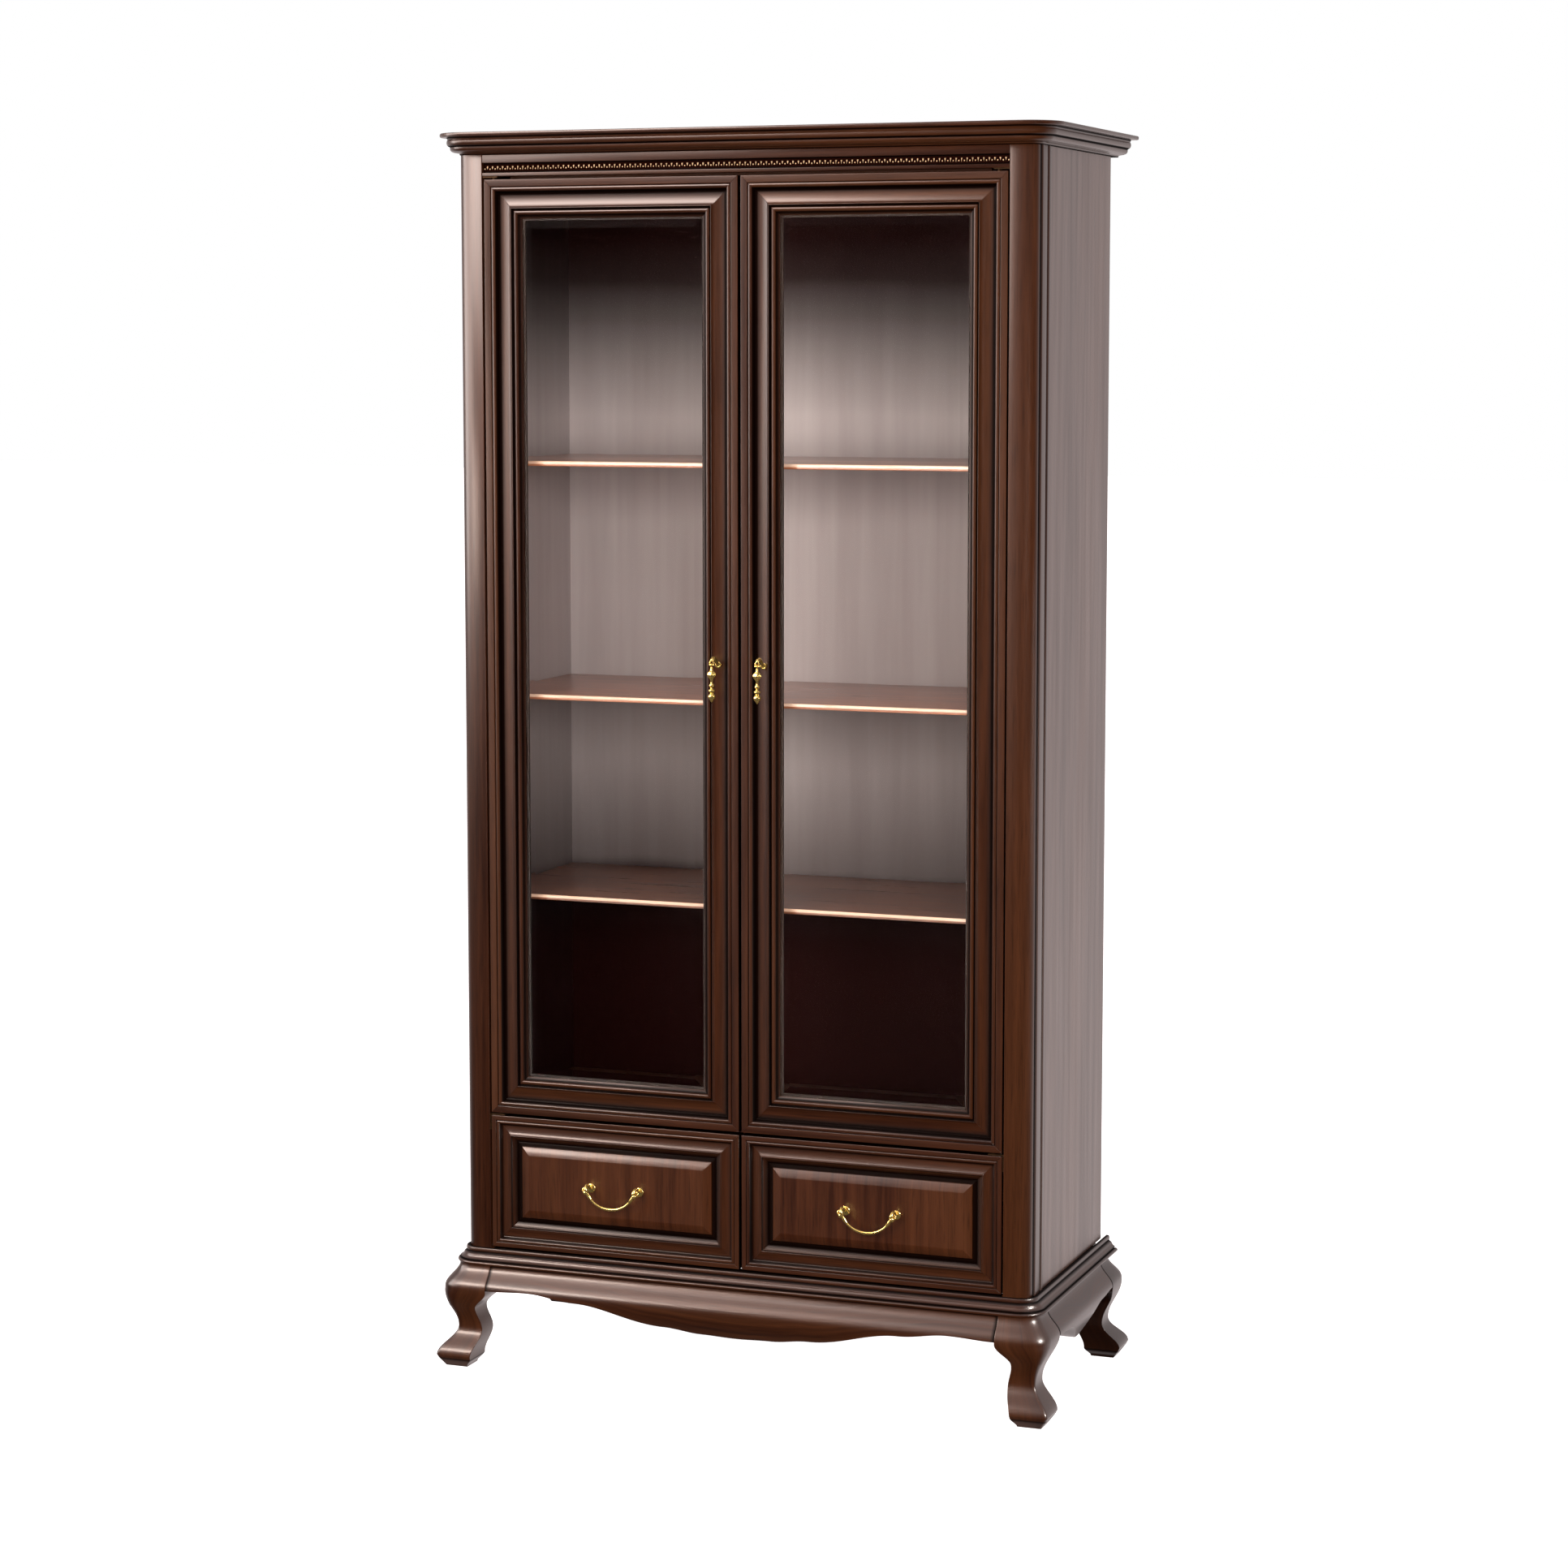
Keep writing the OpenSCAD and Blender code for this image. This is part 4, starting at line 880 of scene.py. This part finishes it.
doorHollow = glazeAndPaintedShade(doorOutline, doorShape)
for side, sign in (("left", -1.0), ("right", 1.0)):
    meeting = span(side + "_door_meeting_stile")
    hinge = span(side + "_door_hinge_stile")
    doorIn = min(abs(meeting[0][0]), abs(meeting[1][0]))
    doorOut = max(abs(hinge[0][0]), abs(hinge[1][0]))
    doorLow, doorTop, doorY = meeting[0][2], meeting[1][2], meeting[0][1]
    body = side + "_door"
    members = frameMembers(sign, doorIn, doorOut, doorY, doorLow, doorTop)
    parts = ("Hinge Stile", "Meeting Stile", "Top Rail", "Bottom Rail")
    for k, (part, words) in enumerate(zip(parts, members)):
        node = body + "_" + part.lower().replace(" ", "_")
        makePiece(side + "Door" + part.replace(" ", ""), memberPatch(doorOutline, *words, doorHollow),
                  walnutRun, body, [node], seed=11 + k * 1.7 + sign)

    # bevelled pane: square rings (inset, depth) from the back edge to the front field
    rings = [(0.6, 16.2), (0.0, 15.6), (0.0, 13.6), (0.5, 13.0), (doorShape["bevel"] - 0.6, 11.25),
             (doorShape["bevel"] + 0.6, 11.2)]
    panePatch = gridPatch(uprightRings(*span(side + "_door_glass"), doorY, rings))
    pane = makePiece(side + "DoorGlass", panePatch, [clearPane, bevelPane], body, [side + "_door_glass"],
                     sharpAngle=1.0)
    secondFinish(pane, "normal", lambda x, y, z: (np.abs(y) > 0.9) & (np.abs(y) < 0.9999))

# drawer fronts: a narrower frame of the same kind round a raised panel
drawerShape = {
    "glazeAndShadeAt": (7.7, 8.4, 9.2, 13.6, 14.8, 17.0, 20.0, 34.4, 35.2, 36.4, 42.0, 43.6, 45.0),
    "glazeAndShade": (0.0, 0.9, 0.0, 0.0, 0.85, 0.6, 0.0, 0.0, 0.9, 0.25, 0.3, 0.95, 1.0),
}
smallCove = np.radians(np.linspace(0, 90, 9))
drawerFace = np.concatenate([
    [[0.0, 0.6], [0.6, 0.0], [7.6, 0.0], [8.4, 1.4], [9.0, 0.5]],
    np.stack([11.4 + 2.6 * np.sin(beadArc), 2 - 2 * np.cos(beadArc)], -1),
    [[14.2, 1.8], [16.0, 6.6], [17.8, 7.5]],
    np.stack([18.6 + 15 * np.sin(smallCove), 2 + 5.4 * np.cos(smallCove)], -1),
    [[35, 2], [36.6, 6], [38.5, 6.6], [43.6, 9.6], [45, 10.4]]])
drawerOutline = easeCorners(np.concatenate([drawerFace, [[45, 22], [0, 22]]]), 0.6)
drawerHollow = glazeAndPaintedShade(drawerOutline, drawerShape)
for side, sign in (("left", -1.0), ("right", 1.0)):
    low, high = span(side + "_drawer_front_frame")
    drawerIn, drawerOut = sorted((abs(low[0]), abs(high[0])))
    faceY = low[1]
    patches = [memberPatch(drawerOutline, *words, drawerHollow)
               for words in frameMembers(sign, drawerIn, drawerOut, faceY, low[2], high[2])]
    makePiece(side + "DrawerFrame", patches, walnutRun, side + "_drawer", [side + "_drawer_front_frame"],
              seed=20 + sign)
    # raised panel: rings (inset, depth) from the back, over the flat border and the bevel, to the field
    rings = [(0.5, 22.0), (0.0, 21.5), (0.0, 11.2), (0.3, 11.0), (6.6, 11.0), (7.0, 10.8), (7.6, 9.3),
             (8.2, 8.9), (21.2, 4.55), (22.0, 4.4), (23.0, 4.4)]
    ringPoints = uprightRings(*span(side + "_drawer_front_panel"), faceY, rings)
    grain = np.concatenate([ringPoints, ringPoints[:, :1]], 1)[..., [2, 0]] * 0.001
    # the flat border and the foot of the bevel darkened: painted shade
    ringHollow = np.array([1, 1, 1, 1, 0.9, 0.7, 0.3, 0.05, 0, 0, 0.0])[:, None]
    makePiece(side + "DrawerPanel", gridPatch(ringPoints, grain=grain, hollow=ringHollow,
                                              creaseColumns=(0, 1, 2, 3), capAxes=(2, 0)),
              walnutPanel, side + "_drawer", [side + "_drawer_front_panel"], sharpAngle=40,
              seed=24 + sign)
print("doors and drawer fronts made")

# shelves: "nose" is how tall the light front edge is, measured down from the top face
shelfShape = {"nose": 4.8, "noseFinish": 5.0, "round": 2.6}
for number, node in enumerate(("upper_shelf", "middle_shelf", "lower_shelf")):
    low, high = span(node)
    y0, y1, z0, z1 = low[1], high[1], low[2], high[2]
    outline = easeCorners([[y0, z0], [y1, z0], [y1, z1], [y0, z1], [y0, z1 - shelfShape["nose"]]],
                          np.array([shelfShape["round"], 0.5, 0.5, shelfShape["round"], 0.2]), 5)
    board = runPatch(outline, 0, low[0], high[0], 0.3)
    # the light front edge: quads whose middle lies in front of the nose line
    name = node.split("_")[0] + "Shelf"
    shelf = makePiece(name, board, [lowShelfPaintedShade if number == 2 else shelfWood, shelfNose], "cabinet", [node],
                      seed=30 + number)
    secondFinish(shelf, "center", lambda x, y, z: (y < (y0 + 1.6) * 0.001)
                 & (z > (z1 - shelfShape["noseFinish"]) * 0.001))
print("shelves made")

# bow handles of the drawers
handleShape = {"wire": 2.3, "half": 42.0, "drop": 26.0, "proud": 22.0, "bend": 1.22}


# a round bar of changing radius along a path; each ring stands square to the path, its first direction
# being the given side vector made square to it
def barPatch(path, radii, sideWay, around):
    path = np.asarray(path, float)
    tangent = np.gradient(path, axis=0)
    tangent /= np.linalg.norm(tangent, axis=1, keepdims=True)
    sideWay = np.broadcast_to(np.asarray(sideWay, float), path.shape)
    across = sideWay - tangent * (sideWay * tangent).sum(1, keepdims=True)
    across /= np.linalg.norm(across, axis=1, keepdims=True)
    third = np.cross(tangent, across)
    turn = np.linspace(0.0, 2 * math.pi, around, endpoint=False)
    radii = np.asarray(radii, float)[:, None, None]
    ring = across[:, None] * np.cos(turn)[None, :, None] + third[:, None] * np.sin(turn)[None, :, None]
    return gridPatch(path[:, None] + ring * radii)


# smooth path through a few points: Catmull-Rom, each span t, t2, t3 in the four points round it
def smoothPath(points, steps=8):
    p = np.asarray(points, float)
    p = np.concatenate([[2 * p[0] - p[1]], p, [2 * p[-1] - p[-2]]])
    t = np.linspace(0.0, 1.0, steps, endpoint=False)[None, :, None]
    a, b, c, d = (p[k:len(p) - 3 + k, None] for k in range(4))
    spans = 0.5 * (2 * b + (c - a) * t + (2 * a - 5 * b + 4 * c - d) * t ** 2
                   + (3 * b - a - 3 * c + d) * t ** 3)
    return np.concatenate([spans.reshape(-1, p.shape[1]), p[-2:-1]])


# solid of revolution: profile (radius, distance) turned round an axis through the centre
def turnedPatch(profile, centre, axisWay, sideWay, around=20, lobes=0, depth=0.0, lobeSpan=None):
    profile = np.asarray(profile, float)
    axisWay, sideWay = np.asarray(axisWay, float), np.asarray(sideWay, float)
    third = np.cross(axisWay, sideWay)
    turn = np.linspace(0.0, 2 * math.pi, around, endpoint=False)
    radius = profile[:, :1] * np.ones(around)
    if lobes:
        share = np.exp(-((profile[:, 1] - lobeSpan[0]) / lobeSpan[1]) ** 2)[:, None]
        radius = radius * (1 + depth * share * np.cos(lobes * turn)[None, :])
    points = (np.asarray(centre, float) + axisWay * profile[:, 1, None, None]
              + sideWay * (radius * np.cos(turn))[..., None] + third * (radius * np.sin(turn))[..., None])
    return gridPatch(points)


# ball: a half circle turned round the upright axis, open by a hair at the poles so that the caps close it
def ballPatch(centre, radius, around=14):
    angle = np.linspace(-math.pi / 2 + 0.12, math.pi / 2 - 0.12, 9)
    return turnedPatch(np.stack([radius * np.cos(angle), radius * np.sin(angle)], -1), centre,
                       (0, 0, 1), (1, 0, 0), around)


# rosette behind a handle: (radius, distance out of the wood)
rosette = [(0.4, 2.6), (1.2, 2.7), (3.0, 2.2), (4.2, 1.2), (5.6, 1.5), (7.0, 1.1), (8.0, 0.3), (8.0, -1.2),
           (0.4, -1.2)]
for side, sign in (("left", -1.0), ("right", 1.0)):
    low, high = span(side + "_drawer_front_panel")
    centre = np.array([(low[0] + high[0]) / 2, low[1], (low[2] + high[2]) / 2 - 2])
    half, drop, proud, bend = (handleShape[word] for word in ("half", "drop", "proud", "bend"))
    patches = []
    share = np.linspace(-1, 1, 41)
    bow = centre + np.stack([half * np.sin(share * bend) / math.sin(bend), np.full_like(share, -proud),
                             -drop + drop * (1 - np.cos(share * bend)) / (1 - math.cos(bend))], -1)
    # thicker in the middle and near the ends
    swell = 0.82 + 0.35 * np.exp(-(share / 0.35) ** 2) + 0.45 * np.exp(-((np.abs(share) - 0.86) / 0.1) ** 2)
    patches.append(barPatch(bow, handleShape["wire"] * swell, (0, 1, 0), 12))
    for end in (-1.0, 1.0):
        start = centre + (end * half, -proud, 0)
        # the arm rises from the bow, rolls over and comes back to the drawer
        arm = smoothPath([start, start + (end * 1.5, -2.2, 5.5), start + (end * 2.5, 2.5, 10.5),
                          start + (end * 2.8, 9.5, 11.0), start + (end * 2.6, 15.0, 6.5),
                          start + (end * 2.2, proud, 3.0)])
        size = np.interp(np.linspace(0, 1, len(arm)), [0, 0.25, 0.5, 0.8, 1], [2.9, 2.6, 2.3, 2.2, 2.8])
        patches.append(barPatch(arm, size, (1, 0, 0), 12))
        patches.append(ballPatch(start + (end * 2.4, -0.8, 0.2), 4.3))
        # a curled leaf tip at the outer side
        curl = smoothPath([start + (end * x, y, z) for x, y, z in (
            (1.0, 0.0, -1.0), (6.2, 1.0, 0.8), (8.4, 2.2, 5.0), (5.6, 3.0, 7.6), (3.6, 3.0, 5.2))])
        patches.append(barPatch(curl, np.linspace(2.0, 1.0, len(curl)), (0, 1, 0), 10))
        patches.append(turnedPatch(rosette, start + (end * 2.2, proud, 3.0), (0, -1, 0), (1, 0, 0), 24))
    makePiece(side + "DrawerHandle", patches, polishedBrass, side + "_drawer", [side + "_drawer_handle"],
              sharpAngle=60)

# door pulls: the pendant is a turned profile of (radius, distance below the pivot)
pullShape = {"eye": 2.9, "tube": 0.9, "yoke": 1.15, "rosette": 0.72}
pendant = [(0.3, 3.0), (1.8, 3.4), (2.2, 6.5), (3.4, 9.0), (5.6, 12.0), (6.6, 15.5), (6.2, 18.0),
           (4.6, 20.6), (2.8, 23.6), (1.9, 27.0), (2.2, 29.6), (3.6, 31.4), (4.5, 33.6), (3.6, 36.0),
           (2.2, 37.6), (3.0, 39.2), (5.0, 40.6), (5.6, 42.4), (4.4, 44.6), (2.8, 46.2), (4.2, 47.8),
           (5.9, 50.2), (6.3, 52.6), (5.2, 55.4), (3.0, 58.2), (1.6, 60.4), (0.3, 61.8)]
pendant = smoothPath(pendant, 4)
pendant[:, 0] = np.maximum(pendant[:, 0], 0.2)
for side, sign in (("left", -1.0), ("right", 1.0)):
    joint = [j for j in frame["record"]["behaviour"]["joints"] if j["name"] == side + "_pull_swing"][0]
    pivot = np.array(joint["pos_m"]) * 1000.0
    doorFaceY = span(side + "_door_meeting_stile")[0][1]
    drop = [turnedPatch(pendant, pivot, (0, 0, -1), (1, 0, 0), 24, lobes=5, depth=0.16, lobeSpan=(15.0, 6.0))]
    ring = np.linspace(0, 2 * math.pi, 25)[:-1]
    eye = pivot + np.stack([np.zeros_like(ring), pullShape["eye"] * np.cos(ring),
                            pullShape["eye"] * np.sin(ring)], -1)
    tangentRing = np.stack([np.zeros_like(ring), np.cos(ring), np.sin(ring)], -1)
    tube = np.linspace(0, 2 * math.pi, 10, endpoint=False)
    torus = (eye[:, None] + tangentRing[:, None] * (pullShape["tube"] * np.cos(tube))[None, :, None]
             + np.array([1.0, 0, 0]) * (pullShape["tube"] * np.sin(tube))[None, :, None])
    drop.append(gridPatch(torus, wrapRows=True))
    makePiece(side + "PullDrop", drop, polishedBrass, side + "_pull", [side + "_pull_drop"],
              sharpAngle=60)
    # the arched arm: out of the rosette, up and over, down to the pin the pendant hangs from
    root = np.array([pivot[0], doorFaceY + 6.0, pivot[2] - 2.0])
    reachOut = root[1] - pivot[1]
    arm = smoothPath([root, root + (0, -7.0, 5.0), root + (0, -0.5 * reachOut - 2, 12.0),
                      root + (0, -0.82 * reachOut, 11.5), pivot + (0, 1.6, 7.6), pivot + (0, 0.6, 6.4)])
    size = np.interp(np.linspace(0, 1, len(arm)), [0, 0.3, 0.55, 0.8, 1], [2.4, 3.1, 3.8, 3.0, 1.8])
    yoke = smoothPath([pivot + step for step in (
        (-3.2, 0, -0.6), (-3.4, 0, 3.4), (-2.0, 0.3, 6.4), (0, 0.5, 7.0), (2.0, 0.3, 6.4), (3.4, 0, 3.4),
        (3.2, 0, -0.6))])
    mount = [barPatch(arm, size, (1, 0, 0), 14),
             barPatch(yoke, np.full(len(yoke), pullShape["yoke"]), (0, 1, 0), 12),
             turnedPatch(np.array(rosette) * (pullShape["rosette"], 1.0), (root[0], doorFaceY + 5.4, root[2]),
                         (0, -1, 0), (1, 0, 0), 24),
             turnedPatch([(0.3, -4.6), (1.3, -4.4), (1.3, 4.4), (0.3, 4.6)], pivot, (1, 0, 0), (0, 1, 0), 12)]
    makePiece(side + "PullMount", mount, polishedBrass, side + "_door", [side + "_pull_mount"],
              sharpAngle=60)
print("handles made")

# finishes of the CAD nodes that stay
nodeFinish = {
    "left_side_panel": sidePanelFinish, "right_side_panel": sidePanelFinish,
    "top_panel": insideWalnut, "deck_panel": insideWalnut, "bottom_panel": insideWalnut,
    "drawer_divider": insideUpright, "back_panel": backPanelFinish, "door_stop_rail": insideWalnut,
    "shelf_pins": darkBronze, "drawer_runners": drawerWood, "door_pivots": darkBronze,
    "magnet_catches": brushedSteel,
}
for side in ("left", "right"):
    nodeFinish.update({
        side + "_door_glazing_beads": beadWood, side + "_door_bushes": darkBronze,
        side + "_door_strike": brushedSteel, side + "_drawer_sides": drawerWood,
        side + "_drawer_back": drawerWood, side + "_drawer_bottom": drawerWood,
    })
for node, finish in nodeFinish.items():
    materials = frame["nodes"][node].data.materials
    for k in range(len(materials)):
        materials[k] = finish
print("carried-over nodes finished:", len(nodeFinish))

floorMesh = bpy.data.meshes.new("studioFloor")
floorHalf, floorZ = 40.0, -0.0005
floorCorners = [(x * floorHalf, y * floorHalf, floorZ) for x, y in ((-1, -1), (1, -1), (1, 1), (-1, 1))]
floorMesh.from_pydata(floorCorners, [], [(0, 1, 2, 3)])
floorMesh.materials.append(floorFinish())
studioFloor = bpy.data.objects.new("studioFloor", floorMesh)
studioFloor.visible_glossy = False
studioFloor.visible_diffuse = False
bpy.context.scene.collection.objects.link(studioFloor)
